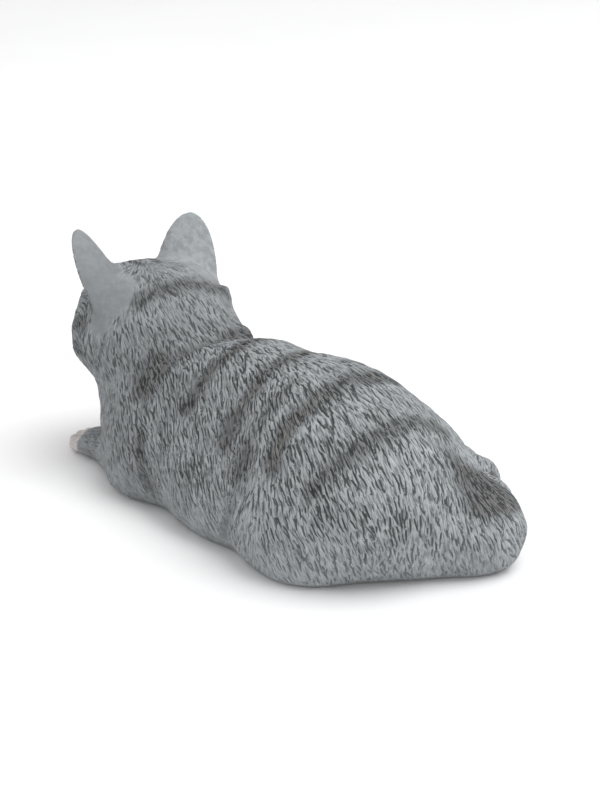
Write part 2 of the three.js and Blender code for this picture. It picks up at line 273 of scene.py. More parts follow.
@dataclass(frozen=True)
class Body:
    """The masses of the cat, in the order in which they flow into each other."""

    tuck: float = 1.6
    longest_slide: float = 0.4
    tail_blend: float = 2.8
    ears: tuple[Ear, Ear] = (
        Ear(1, width=12.4, height=15.3, roundness=1.8, aside=7.7, splay=4.0),
        Ear(-1, width=12.6, height=14.6, roundness=2.0, aside=7.9, splay=10.5),
    )
    eye_at: Triple = (5.4, -45.2, 28.6)
    eye_half: Triple = (2.7, 2.4, 2.2)

    def trunk(self) -> list[Mass]:
        """Return chest, ribs, belly, hips and haunches."""
        return [
            Egg(7.5, (1, -21, 14), (15, 16.5, 14.5)),
            Bone(10, (-1, -1.5, 19), (-2, 12.5, 18.6), 13.8, 13.6),
            Egg(7.5, (2, 0, 7), (16.5, 23, 13.5)),
            Egg(10, (-2.3, 22.5, 13.5), (18.4, 20, 17.6)),
            Egg(5, (8.6, 21.2, 6.5), (9.3, 10.9, 11.5), 8),
            Egg(6.5, (-15, 22, 9.5), (12, 17.5, 11.5), -14),
            Bone(6, (-2.4, 28.2, 5), (-14, 38.8, 5.5), 6, 6.8),
        ]

    def neck_and_head(self) -> list[Mass]:
        """Return neck, ruff, breast, skull, cheeks, muzzle, nose, eyes, temples and ear roots."""
        masses: list[Mass] = [
            Bone(7.5, (1.5, -21, 16.5), (0.5, -31, 23), 10.5, 10.5),
            Egg(6, (-1, -28, 27), (10.5, 8.5, 8)),
            Bone(4, (-9.3, -31.3, 28.4), (-5.2, -19.3, 25.6), 5.3, 4.3),
            Egg(7.5, (2, -30, 13.5), (11, 10.5, 13.5)),
            Egg(6.5, (0, -36.5, 28.7), (13, 11.5, 11.4), 0, Lay.NOSE),
        ]
        for side in (1, -1):
            masses.append(Egg(4.5, (side * 7.8, -37.6, 26), (8.1, 8.4, 7.2), 0, Lay.NOSE))
            masses.append(Egg(2.5, (side * 2.3, -47, 23.2), (3.5, 4, 3), 0, Lay.NOSE))
        masses.append(Egg(2.5, (0, -45.5, 20.5), (3.5, 3.5, 2.5), 0, Lay.NOSE))
        masses.append(Egg(2, (0, -48.8, 25.5), (2, 2, 1.5), 0, Lay.NOSE))
        masses.append(Egg(3.5, (0, -45, 27.5), (3, 4.5, 3.5), 0, Lay.NOSE))
        for side in (1, -1):
            eye = (side * self.eye_at[0], self.eye_at[1], self.eye_at[2])
            root = (side * 7.8, -35.2, 33)
            masses.append(Egg(1.2, eye, self.eye_half, 0, Lay.NOSE))
            masses.append(Egg(3, root, (5.6, 2.8, 4.4), side * self.ears[0].yaw, Lay.NOSE))
            masses.append(Egg(3, (side * 8.9, -40.7, 32.3), (3.4, 3.8, 4.2), 0, Lay.NOSE))
        return masses

    def legs_and_tail(self) -> list[Mass]:
        """Return the forelegs, the tail and the two hind legs that point to the cat's right."""
        return [
            Egg(5.5, (12.7, -20.8, 7.5), (6.3, 10, 9)),
            Bone(3.5, (13, -22.5, 4), (10, -41.5, 3), 5, 3, Lay.LIMB),
            *paw(*PAWS[0]),
            Egg(5.5, (-12.5, -21.5, 7.5), (6, 10, 8.5)),
            Bone(3.5, (-12, -22.5, 4), (-9, -41.5, 3), 5, 3, Lay.LIMB),
            *paw(*PAWS[1]),
            Bone(7.5, (-8.5, 34, 8.5), (-17.3, 40, 6.5), 7.5, 6.2),
            *chain(
                self.tail_blend,
                [
                    (-17.3, 40, 6, 6.1),
                    (-24.3, 33.2, 5.3, 5.2),
                    (-31.5, 22.5, 4.8, 4.8),
                    (-34, 11, 3.6, 3.8),
                    (-31.5, 2, 2.8, 2.8),
                ],
            ),
            Bone(3.5, (-20, 17, 8.5), (-32.5, 16, 6.8), 5.5, 3.5, Lay.LIMB),
            *paw(*PAWS[2]),
            Bone(3, (-12.5, 5, 4.5), (-19.5, -7, 3.2), 4.5, 3, Lay.LIMB),
            *paw(*PAWS[3]),
        ]

    def masses(self) -> list[Mass]:
        """Return all the masses, the ears last."""
        return [*self.trunk(), *self.neck_and_head(), *self.legs_and_tail(), *self.ears]

    def distance(self, points: Array) -> Array:
        """Return the signed distance to the skin, negative inside.

        The masses melt into each other in turn, and near the floor the skin is drawn in by the
        square of the depth below the tuck over twice the tuck.
        """
        joined = np.full(len(points), 1e3, np.float32)
        for mass in self.masses():
            joined = melt(joined, mass.distance(points), mass.blend)
        below = np.maximum(self.tuck - points[:, 2], 0)
        return joined + below * below / (2 * self.tuck)

    def slope(self, points: Array, here: Array) -> Array:
        """Return how steeply the distance changes along each axis, by small steps ahead."""
        step = 0.04
        slopes = []
        for axis in range(3):
            ahead = points.copy()
            ahead[:, axis] += step
            slopes.append((self.distance(ahead) - here) / step)
        return np.stack(slopes, 1)

    def settled(self, points: Array, steps: int = 2) -> tuple[Array, Array]:
        """Slide points down the slope of the distance onto the skin.

        Args:
            points: Points near the skin. Those at height nought keep it.
            steps: How many times to slide.

        Returns:
            The points on the skin, and the unit normals there.
        """
        points = points.astype(np.float32)
        on_floor = points[:, 2] < ON_FLOOR
        for _ in range(steps):
            here = self.distance(points)
            slope = self.slope(points, here)
            flat = slope.copy()
            flat[on_floor, 2] = 0
            steep = np.maximum((flat * flat).sum(1), 0.1)
            move = flat * (here / steep)[:, None]
            reach = np.linalg.norm(move, axis=1, keepdims=True)
            points = points - move * np.minimum(1, self.longest_slide / np.maximum(reach, 1e-9))
        return points, unit(slope)


@dataclass(frozen=True)
class SkinNet:
    """Nets a closed mesh of four-sided faces round a body on an even grid."""

    cell: float = 0.37
    low: Triple = (-41.0, -52.5, 0.0)
    high: Triple = (21.0, 49.5, 48.8)

    def axes(self) -> list[Array]:
        """Return the grid's lines. Those across the upright start half a cell under the floor."""
        lines = []
        for axis, (low, high) in enumerate(zip(self.low, self.high)):
            start = -self.cell / 2 if axis == 2 else low
            count = int((high - start) / self.cell) // 2 * 2 + 2
            lines.append((start + self.cell * np.arange(count)).astype(np.float32))
        return lines

    def sampled(self, body: Body, axes: list[Array]) -> Array:
        """Return the distance on the grid.

        Every second point is worked out first, and the rest only where that is near the skin.
        """
        shape = [len(line) for line in axes]
        halves = [line[::2] for line in axes]
        rough = np.stack(np.meshgrid(*halves, indexing="ij"), -1).reshape(-1, 3)
        values = body.distance(rough).reshape([len(line) for line in halves])
        for axis in range(3):
            values = np.repeat(values, 2, axis)
        near = np.abs(values) < self.cell * 4
        where = np.argwhere(near)
        points = np.stack([axes[axis][where[:, axis]] for axis in range(3)], 1)
        values = values.reshape(shape)
        values[near] = body.distance(points)
        floor = np.where(axes[2] < 0, np.float32(self.cell / 2), np.float32(-1e3))
        return np.maximum(values, floor[None, None, :])

    def woven(self, body: Body) -> tuple[Array, Array]:
        """Net the skin.

        Each cell that the skin crosses gets a vertex at the mean of its edges' crossings, and each
        crossed grid edge joins the vertices of its four cells into a face.

        Args:
            body: The body to net.

        Returns:
            The vertices, and four vertex numbers for each face.
        """
        axes = self.axes()
        values = self.sampled(body, axes)
        inside = values < 0
        cells = np.array(values.shape) - 1
        total = np.zeros((*cells, 3), np.float32)
        count = np.zeros(cells, np.float32)
        for axis in range(3):
            for i in (0, 1):
                for j in (0, 1):
                    near = np.zeros(3, int)
                    near[(axis + 1) % 3], near[(axis + 2) % 3] = i, j
                    far = near.copy()
                    far[axis] = 1
                    a = values[tuple(slice(n, n + c) for n, c in zip(near, cells))]
                    b = values[tuple(slice(n, n + c) for n, c in zip(far, cells))]
                    crossed = (a < 0) != (b < 0)
                    share = np.where(crossed, a / np.where(crossed, a - b, 1), 0)
                    total[..., axis] += share
                    total[..., (axis + 1) % 3] += i * crossed
                    total[..., (axis + 2) % 3] += j * crossed
                    count += crossed
        mixed = count > 0
        number = np.full(cells, -1)
        number[mixed] = np.arange(int(mixed.sum()))
        where = np.argwhere(mixed)
        corner = np.stack([axes[axis][where[:, axis]] for axis in range(3)], 1)
        vertices = corner + self.cell * total[mixed] / count[mixed][:, None]
        vertices[where[:, 2] == 0, 2] = 0
        quads = []
        for axis in range(3):
            b, c = (axis + 1) % 3, (axis + 2) % 3
            low = [slice(1, n) for n in cells]
            low[axis] = slice(0, cells[axis])
            high = list(low)
            high[axis] = slice(1, cells[axis] + 1)
            crossed = inside[tuple(low)] != inside[tuple(high)]
            offset = np.array([1, 1, 1])
            offset[axis] = 0
            at = np.argwhere(crossed) + offset
            ring = []
            for db, dc in ((1, 1), (0, 1), (0, 0), (1, 0)):
                cell = at.copy()
                cell[:, b] -= db
                cell[:, c] -= dc
                ring.append(number[tuple(cell.T)])
            quad = np.stack(ring, 1)
            outward = inside[tuple(low)][crossed]
            quad[~outward] = quad[~outward][:, ::-1]
            quads.append(quad)
        return vertices, np.concatenate(quads)


def split_faces(vertices: Array, quads: Array) -> tuple[Array, Array]:
    """Split each four-sided face into four, at the middles of its edges and its own middle.

    Args:
        vertices: The mesh's points.
        quads: Four point numbers for each face.

    Returns:
        The points and faces of the finer mesh.
    """
    edges = np.stack([quads, np.roll(quads, -1, 1)], -1).reshape(-1, 2)
    low, high = edges.min(1).astype(np.int64), edges.max(1).astype(np.int64)
    keys, place = np.unique(low * len(vertices) + high, return_inverse=True)
    ends = np.stack([keys // len(vertices), keys % len(vertices)], 1)
    middles = vertices[ends].mean(1)
    hubs = vertices[quads].mean(1)
    edge_at = len(vertices) + place.reshape(-1, 4)
    hub_at = len(vertices) + len(middles) + np.arange(len(quads))
    finer = [
        np.stack([quads[:, i], edge_at[:, i], hub_at, edge_at[:, i - 1]], 1) for i in range(4)
    ]
    return np.concatenate([vertices, middles, hubs]), np.concatenate(finer)


def near_pairs(sources: Array, targets: Array, reach: float) -> tuple[Array, Array]:
    """Find every pair of a source and a target less than reach apart.

    The targets are sorted into cubic boxes with sides of reach, and each source looks through the
    27 boxes round its own.

    Args:
        sources: Points that look.
        targets: Points that are found.
        reach: The furthest apart that a pair may be.

    Returns:
        The source's and the target's number of each pair.
    """
    low = np.minimum(sources.min(0), targets.min(0)) - 2 * reach
    most_boxes = 4096

    def keyed(cells: Array) -> Array:
        """Return one number for each box, with neighbours upwards one apart."""
        return (cells[:, 0] * most_boxes + cells[:, 1]) * most_boxes + cells[:, 2]

    keys = keyed(((targets - low) / reach).astype(np.int64))
    order = np.argsort(keys, kind="stable")
    keys = keys[order]
    home = ((sources - low) / reach).astype(np.int64)
    found_sources, found_targets = [], []
    # The three boxes above each other have neighbouring keys, so they are one stretch of the list.
    for dx in (-1, 0, 1):
        for dy in (-1, 0, 1):
            first = np.searchsorted(keys, keyed(home + [dx, dy, -1]), "left")
            last = np.searchsorted(keys, keyed(home + [dx, dy, 1]), "right")
            many = last - first
            source = np.repeat(np.arange(len(sources)), many)
            step = np.arange(len(source)) - np.repeat(np.cumsum(many) - many, many)
            target = order[np.repeat(first, many) + step]
            apart = np.linalg.norm(sources[source] - targets[target], axis=1)
            close = apart < reach
            found_sources.append(source[close])
            found_targets.append(target[close])
    return np.concatenate(found_sources), np.concatenate(found_targets)


def kept_apart(count: int, a: Array, b: Array, rng: np.random.Generator) -> Array:
    """Keep some of a number of things so that no two that clash are both kept.

    Each has a random rank. One that ranks before all that it clashes with is kept, those are
    dropped, and so on until none is left.

    Args:
        count: How many things there are.
        a: The first of each clashing pair.
        b: The second.
        rng: The source of the ranks.

    Returns:
        True for each thing that is kept.
    """
    a, b = a[a != b], b[a != b]
    rank = rng.permutation(count)
    state = np.zeros(count, int)
    most_rounds = 40
    for _ in range(most_rounds):
        waiting = (state[a] == 0) & (state[b] == 0)
        a, b = a[waiting], b[waiting]
        best = np.full(count, count)
        np.minimum.at(best, a, rank[b])
        kept = (state == 0) & (rank < best)
        if not kept.any():
            break
        state[kept] = 1
        dropped = np.zeros(count, bool)
        dropped[b[kept[a]]] = True
        dropped[a[kept[b]]] = True
        state[dropped & (state == 0)] = 2
    return state == 1


@dataclass(frozen=True)
class Marking:
    """A soft line over the skin: points along its middle, its half width and its strength."""

    points: tuple[Triple, ...]
    half: float
    strength: float = 1.0
    both_sides: bool = False
    stride: float = 1.5
    slides: int = 24

    def lines(self, body: Body) -> list[Array]:
        """Return the middle line on the skin, and its mirror image on the other side's own skin.

        Places a stride apart along the line slide onto the skin.

        Args:
            body: The body whose skin it lies on.

        Returns:
            Points along each line.
        """
        ends = np.array(self.points, float)
        runs = np.linalg.norm(np.diff(ends, axis=0), axis=1)
        whole = np.concatenate([[0], np.cumsum(runs)])
        places = np.linspace(0, whole[-1], max(2, int(whole[-1] / self.stride) + 1))
        line = np.stack([np.interp(places, whole, ends[:, axis]) for axis in range(3)], 1)
        sides = [line, line * [-1, 1, 1]] if self.both_sides else [line]
        return [body.settled(side, self.slides)[0].astype(float) for side in sides]

    def cover(self, points: Array, body: Body) -> Array:
        """Return how much of the marking lies on each point.

        It is exp(-(r / half) ** 2) at the distance r from its middle line, times its strength.
        """
        best = np.zeros(len(points))
        for line in self.lines(body):
            reach = 2.4 * self.half
            low, high = line.min(0) - reach, line.max(0) + reach
            near = np.flatnonzero(((points > low) & (points < high)).all(1))
            here = points[near]
            cover = np.zeros(len(near))
            for a, b in zip(line[:-1], line[1:]):
                run = b - a
                share = np.clip(((here - a) @ run) / max(run @ run, 1e-6), 0, 1)
                apart = np.linalg.norm(here - a - share[:, None] * run, axis=1)
                cover = np.maximum(cover, np.exp(-((apart / self.half) ** 2)))
            best[near] = np.maximum(best[near], cover)
        return best * self.strength


STRIPES = (
    # Across the head, the neck and the nape.
    Marking(((7.5, -28.5, 35.5), (2.0, -27.3, 37.4), (-3.0, -26.7, 37.0)), 2.3, 0.85),
    Marking(((-3.0, -26.7, 37.0), (-11.0, -28.5, 33.0)), 2.6, 0.75),
    Marking(((12.6, -18.6, 22.9), (11.0, -18.0, 26.6)), 3.5, 1.35, True),
    Marking(((9.8, -16.3, 27.4), (2.2, -14.0, 30.1), (-4.7, -15.2, 29.4)), 1.6, 0.75),
    Marking(((-3.5, -14.6, 30.0), (-9.5, -16.6, 27.4)), 2.0, 1.1),
    # Over the back, from the shoulders to the rump.
    Marking(
        ((12.9, -6.2, 22.4), (8.6, -5.2, 28.8), (4.9, -3.9, 31.5), (0.0, -4.5, 32.5)), 2.2, 0.95, True
    ),
    Marking(((13.9, 6.6, 20.4), (12.5, 7.0, 24.4)), 3.2, 1.0, True),
    Marking(
        ((12.5, 7.3, 23.9), (9.0, 7.6, 28.8), (5.1, 7.5, 31.5), (0.7, 7.6, 32.9)), 2.5, 0.9, True
    ),
    Marking(((15.9, 13.8, 17.6), (14.9, 14.4, 20.6)), 2.8, 0.9, True),
    Marking(((14.9, 14.4, 20.6), (10.6, 14.9, 27.6), (5.0, 15.6, 31.0)), 1.9, 0.6, True),
    Marking(
        ((15.2, 21.2, 20.9), (12.0, 20.6, 26.3), (8.6, 21.7, 29.4), (4.1, 22.6, 31.6)), 2.5, 1.0, True
    ),
    Marking(((4.1, 22.6, 31.6), (0.1, 22.0, 32.7), (-5.7, 23.1, 32.2)), 2.0, 0.9),
    Marking(
        ((14.0, 29.7, 18.6), (11.5, 31.5, 22.1), (8.1, 33.2, 24.6), (4.2, 33.7, 26.7)), 2.0, 0.75
    ),
    Marking(
        ((4.2, 33.7, 26.7), (-1.3, 34.2, 27.7), (-6.2, 33.7, 27.5), (-12.8, 34.3, 23.6)), 2.2, 0.75
    ),
    # Down the right haunch.
    Marking(((-18.0, 10.0, 19.0), (-24.0, 13.0, 13.0)), 1.6, 0.75),
    Marking(((-21.0, 18.0, 20.0), (-26.5, 20.0, 12.0)), 1.7, 0.8),
    Marking(((-20.0, 28.0, 19.0), (-25.0, 29.0, 11.0)), 1.7, 0.8),
    # Down the flanks and round the forelegs.
    Marking(((17.3, -15.0, 14.7), (18.3, -13.1, 7.5), (17.6, -11.8, 5.2)), 1.8, 0.8, True),
    Marking(((16.6, 0.0, 13.7), (18.3, 0.6, 6.5)), 2.0, 0.4, True),
    Marking(((17.6, 13.8, 12.0), (16.9, 9.7, 3.7)), 1.5, 0.55),
    Marking(((15.5, -33.0, 9.0), (10.5, -35.0, 7.5)), 1.1, 0.7, True),
    Marking(((14.0, -37.0, 5.0), (9.5, -38.0, 5.5)), 0.9, 0.7, True),
    # On the cheeks and the forehead.
    Marking(((7.9, -45.2, 27.6), (12.6, -40.5, 26.6), (14.6, -36.0, 24.6)), 0.9, 0.95, True),
    Marking(((6.6, -46.4, 24.8), (11.5, -42.0, 22.6), (13.5, -37.5, 20.6)), 0.8, 0.8, True),
    Marking(((15.0, -37.3, 30.3), (13.4, -42.0, 28.6)), 1.6, 0.9, True),
    Marking(((1.6, -35.6, 40.0), (1.5, -42.5, 37.0), (2.6, -46.0, 32.4)), 0.8, 0.9, True),
    Marking(((2.6, -46.0, 32.4), (4.4, -45.4, 33.4), (6.2, -42.5, 35.4)), 0.7, 0.8, True),
    Marking(((0.0, -38.9, 40.2), (0.0, -44.0, 35.0)), 0.5, 0.7),
)
"""The dark stripes of the paint."""

FOLDS = (
    Marking(((12.3, -17.9, 24.8), (2.2, -14.4, 30.3), (-8.0, -16.8, 28.2)), 0.8, 0.55),
    Marking(((17.6, 13.8, 12.0), (16.9, 9.7, 3.7)), 0.8, 0.55),
    Marking(((18.4, -13.2, 8.0), (17.6, -11.8, 4.6)), 0.8, 0.7, True),
    Marking(((12.9, -6.2, 22.4), (8.6, -5.2, 28.8)), 1.9, 0.25, True),
    Marking(((13.9, 6.6, 20.4), (9.0, 7.6, 28.8)), 2.2, 0.25, True),
    Marking(((15.2, 21.2, 20.9), (8.6, 21.7, 29.4)), 2.2, 0.25, True),
)
"""The hollows in the skin, with their depths as strengths."""


@dataclass(frozen=True)
class Knot:
    """A lock of fur that stands up: exp(-(distance / reach) ** 2) times its height."""

    centre: Triple
    reach: float
    height: float

    def raised(self, points: Array) -> Array:
        """Return how far the skin rises at points."""
        away = points - np.array(self.centre, np.float32)
        return self.height * np.exp(-(away * away).sum(1) / self.reach**2)


KNOTS = (
    Knot((-12.9, -29.4, 33.3), 1.2, 1.15),
    Knot((-13.3, -28.2, 32.1), 1.2, 0.7),
    Knot((-9.6, -17.5, 28.9), 1.8, 1.3),
    Knot((-8.6, -15.2, 28.6), 1.6, 1.0),
    Knot((3.2, -40.6, 38.9), 1.7, 0.6),
    Knot((5.0, -40.2, 38.8), 1.3, 0.5),
    Knot((-2.0, 2.5, 33.0), 1.2, 0.3),
    Knot((-3.4, 14.5, 33.2), 1.3, 0.3),
)
"""Locks on the temple, the nape, the crown and the spine."""


@dataclass(frozen=True)
class Face:
    """The carving of eyes, nose and mouth, told by a point's place as seen from ahead."""

    eye_x: float = 5.2
    eye_z: float = 28.3
    eye_long: float = 2.7
    eye_tall: float = 1.55
    eye_slant: float = 14.0
    nose_z: float = 25.7
    nose_wide: float = 1.9
    nose_tall: float = 1.25
    mouth_z: float = 22.2
    mouth_wide: float = 3.3
    mouth_hang: float = 0.75
    mouth_turn: float = 0.85
    pit_x: float = 1.0
    pit_drop: float = 0.35
    pit_wide: float = 0.42
    pit_tall: float = 0.3
    from_y: float = -41.5

    def eye(self, points: Array) -> Array:
        """Return 0 in the middle of an eye and 1 on its rim.

        It is |b| + a ** 2, with a and b the way along and across the almond over its half sizes.
        """
        turn = math.radians(self.eye_slant)
        aside, up = np.abs(points[:, 0]) - self.eye_x, points[:, 2] - self.eye_z
        a = (aside * math.cos(turn) + up * math.sin(turn)) / self.eye_long
        b = (up * math.cos(turn) - aside * math.sin(turn)) / self.eye_tall
        return np.where(points[:, 1] < self.from_y, np.abs(b) + a * a, 99.0)

    def nose(self, points: Array) -> Array:
        """Return 0 in the middle of the nose pad and 1 on its edge, which narrows downwards."""
        up = (points[:, 2] - self.nose_z) / self.nose_tall
        aside = np.abs(points[:, 0]) / (self.nose_wide * np.clip(0.8 + 0.35 * up, 0.3, 1.2))
        return np.where(points[:, 1] < self.from_y, np.sqrt(up * up + aside * aside), 99.0)

    def relief(self, points: Array) -> Array:
        """Return how far the skin sinks, below nought where it swells.

        Each eye swells inside its rim, which is a groove, and the lids stand proud round that. The
        mouth is a groove that hangs from the middle line on both sides, and the nostrils are pits.
        """
        eye, nose = self.eye(points), self.nose(points)
        aside, z = np.abs(points[:, 0]), points[:, 2]
        ahead = points[:, 1] < self.from_y
        sunk = 0.34 * np.exp(-(((eye - 1.15) / 0.2) ** 2)) - 0.22 * np.clip(1 - eye, 0, 1)
        sunk -= 0.2 * np.exp(-(((eye - 1.75) / 0.3) ** 2))
        sunk += 0.25 * np.exp(-(((nose - 1.15) / 0.14) ** 2)) - 0.1 * np.clip(1 - nose, 0, 1)
        pit = ((aside - self.pit_x) / self.pit_wide) ** 2
        pit += ((z - self.nose_z + self.pit_drop) / self.pit_tall) ** 2
        sunk += 0.4 * np.exp(-pit) * ahead
        share = np.clip(aside / self.mouth_wide, 0, 1)
        hang = self.mouth_z - self.mouth_hang * np.sin(share * np.pi * self.mouth_turn)
        lips = np.exp(-(((z - hang) / 0.24) ** 2)) * ramp((self.mouth_wide - aside) / 0.15)
        split = np.exp(-((aside / 0.2) ** 2)) * ramp((z - self.mouth_z) / 0.1)
        split *= ramp((self.nose_z - self.nose_tall - z) / 0.1)
        return sunk + 0.34 * np.maximum(lips, split) * ahead

    def bare(self, points: Array) -> Array:
        """Return 1 on the eyes, their lids and the nose, where there is no fur."""
        eyes = np.clip((2.3 - self.eye(points)) / 0.5, 0, 1)
        return np.maximum(eyes, np.clip((1.5 - self.nose(points)) / 0.3, 0, 1))


@dataclass(frozen=True)
class Coat:
    """Which way the fur runs, how long and how deep its strokes are, and where it stops."""

    body: Body
    face: Face = Face()
    nose: Triple = (0.0, -50.0, 26.0)
    crown: Triple = (0.0, -37.5, 38.0)
    widest_pitch: float = 0.46
    deepest: float = 0.36
    tuft_depth: float = 0.16
    toe_groove: float = 0.2
    toe_depth: float = 0.4
    root_at: Triple = (7.4, -33.9, 34.2)
    left_root: Triple = (5.9, 3.8, 4.4)
    right_root: Triple = (5.4, 3.4, 3.9)

    def laid(self, points: Array, normals: Array) -> Array:
        """Return the unit direction of the fur at points on the skin.

        Every mass has its own direction, and a point takes their mean, each weighted by
        exp(-distance / 1.2). On the trunk that is down the skin's own slope, and back from the head
        the more the flatter it lies, but forwards on the left haunch. On the face it is away from
        the nose, behind the ears away from the crown, and on a limb along it.

        Args:
            points: Points on the skin.
            normals: Its normals there.

        Returns:
            Directions along the skin.
        """
        flat = ramp((normals[:, 2] - 0.5) / 0.5)
        trunk = np.zeros_like(points)
        trunk[:, 2] = -1
        trunk += normals * normals[:, 2:]
        haunch = np.exp(-(((points[:, 1] - 16.0) / 6.0) ** 2)) * ramp((19.0 - points[:, 2]) / 3.0)
        haunch *= ramp((points[:, 1] - 11.0) / 0.8) * ramp(points[:, 0] / 2.0)
        trunk[:, 1] += 0.25 + 0.95 * flat - 0.85 * haunch
        behind = ramp((points[:, 1] + 38.0) / 0.8)[:, None]
        from_nose = unit(points - np.array(self.nose, np.float32))
        from_crown = unit(points - np.array(self.crown, np.float32)) + np.array([0, 0.15, -0.25])
        head = from_nose * (1 - behind) + from_crown * behind
        total = np.zeros_like(points)
        for mass in self.body.masses():
            weight = np.exp(-np.clip(mass.distance(points), 0, 12) / 1.2)[:, None]
            if mass.lay is Lay.SPINE:
                total += weight * trunk
            elif mass.lay is Lay.NOSE:
                total += weight * head
            else:
                total += weight * mass.along().astype(np.float32)
        total -= normals * (total * normals).sum(1, keepdims=True)
        return unit(total)

    def bare(self, points: Array) -> Array:
        """Return 1 where the casting is smooth: ears, eyes, nose, and just above the floor."""
        smooth = np.clip(1 - (points[:, 2] - 0.5) / 0.6, 0, 1)
        for ear in self.body.ears:
            smooth = np.maximum(smooth, np.clip(1.3 - ear.distance(points) / 1.6, 0, 1))
        return np.maximum(np.maximum(smooth, self.roots(points)), self.face.bare(points))

    def roots(self, points: Array) -> Array:
        """Return 1 on the smooth swellings from which the ears rise."""
        smooth = np.zeros(len(points))
        x, y, z = self.root_at
        for side, half in ((1, self.left_root), (-1, self.right_root)):
            root = Egg(1, (side * x, y, z), half, side * self.body.ears[0].yaw)
            smooth = np.maximum(smooth, np.clip(0.7 - root.distance(points) / 1.6, 0, 1))
        return smooth

    def ears(self, points: Array) -> Array:
        """Return 1 on the ears, fading out over their roots."""
        near = self.roots(points) * 0.75
        for ear in self.body.ears:
            near = np.maximum(near, np.clip(1.15 - ear.distance(points) / 1.8, 0, 1))
        return near

    def inner(self, points: Array, normals: Array) -> Array:
        """Return 1 in the hollow front of the ears, inside their rims."""
        within = np.zeros(len(points))
        for ear in self.body.ears:
            across, _, up = ear.local(points).T
            facing = ramp(-(normals @ ear.turned()[:, 1]) / 0.1)
            rise = np.clip(up / ear.height, 0, 1)
            half = ear.width / 2 * np.sqrt(np.maximum(1 - rise**ear.roundness, 1e-4))
            edge = ramp((half * 0.78 - np.abs(across)) / 0.35) * ramp((up - 0.5) / 0.4)
            edge *= np.clip(1.5 - ear.distance(points), 0, 1)
            within = np.maximum(within, facing * edge)
        return within

    def forward(self, points: Array) -> Array:
        """Return 0 on the trunk and 1 on neck and head."""
        return np.clip((-14.0 - points[:, 1]) / 12.0, 0, 1)

    def facing(self, points: Array) -> Array:
        """Return 1 on the face alone."""
        return np.clip((-40.0 - points[:, 1]) / 3.0, 0, 1)

    def pitch(self, points: Array) -> Array:
        """Return how far apart strokes lie: closer on head, neck and limbs than on the hips."""
        low = np.clip((6.0 - points[:, 2]) / 6.0, 0, 1)
        closer = 0.10 * self.forward(points)
        return self.widest_pitch - closer - 0.04 * low - 0.03 * self.facing(points)

    def depth(self, points: Array) -> Array:
        """Return how deep strokes are: shallower near the floor, on the neck and on the face."""
        low = np.clip((7.0 - points[:, 2]) / 7.0, 0, 1)
        deep = self.deepest - 0.10 * self.forward(points) - 0.09 * self.facing(points)
        return deep * (1 - 0.45 * low) * (1 - self.bare(points))

    def tufts(self, points: Array) -> Array:
        """Return how far the coat sinks between its tufts, less how far its knots stand up.

        The tufts are a product of waves along each axis, with a broader wave over it.
        """
        x, y, z = points.T
        wave = np.sin(1.13 * x + 0.6 * np.sin(0.9 * y)) * np.sin(1.21 * y + 0.8 * z)
        wave = wave * np.sin(1.03 * z + 0.5 * x + 1.0) + 0.6 * np.sin(0.53 * x + 0.61 * y - 0.7 * z)
        raised = sum(knot.raised(points) for knot in KNOTS)
        sunk = self.tuft_depth * (1 + np.clip(wave, -1, 1)) * (1 - self.bare(points))
        return sunk - raised

    def folds(self, points: Array) -> Array:
        """Return how far the skin sinks along its folds and between the toes."""
        sunk = np.zeros(len(points))
        for fold in FOLDS:
            sunk = np.maximum(sunk, fold.cover(points, self.body))
        return sunk + self.toes(points)

    def toes(self, points: Array) -> Array:
        """Return how far the skin sinks between the toes.

        On each paw, three grooves along it, exp(-(across / width) ** 2) each, from its middle
        forwards.
        """
        sunk = np.zeros(len(points))
        for centre, half, yaw in PAWS:
            turn = math.radians(yaw)
            dx, dy = points[:, 0] - centre[0], points[:, 1] - centre[1]
            across = dx * math.cos(turn) + dy * math.sin(turn)
            ahead = dx * math.sin(turn) - dy * math.cos(turn)
            near = (np.abs(across) < half[0]) & (np.abs(points[:, 2] - centre[2]) < half[2] * 1.3)
            near &= ahead < half[1] * 1.4
            reach = ramp((ahead - half[1] * 0.45) / 0.25) * near
            for i in (-1, 0, 1):
                groove = np.exp(-(((across - i * half[0] * 0.46) / self.toe_groove) ** 2))
                sunk = np.maximum(sunk, self.toe_depth * groove * reach)
        return sunk


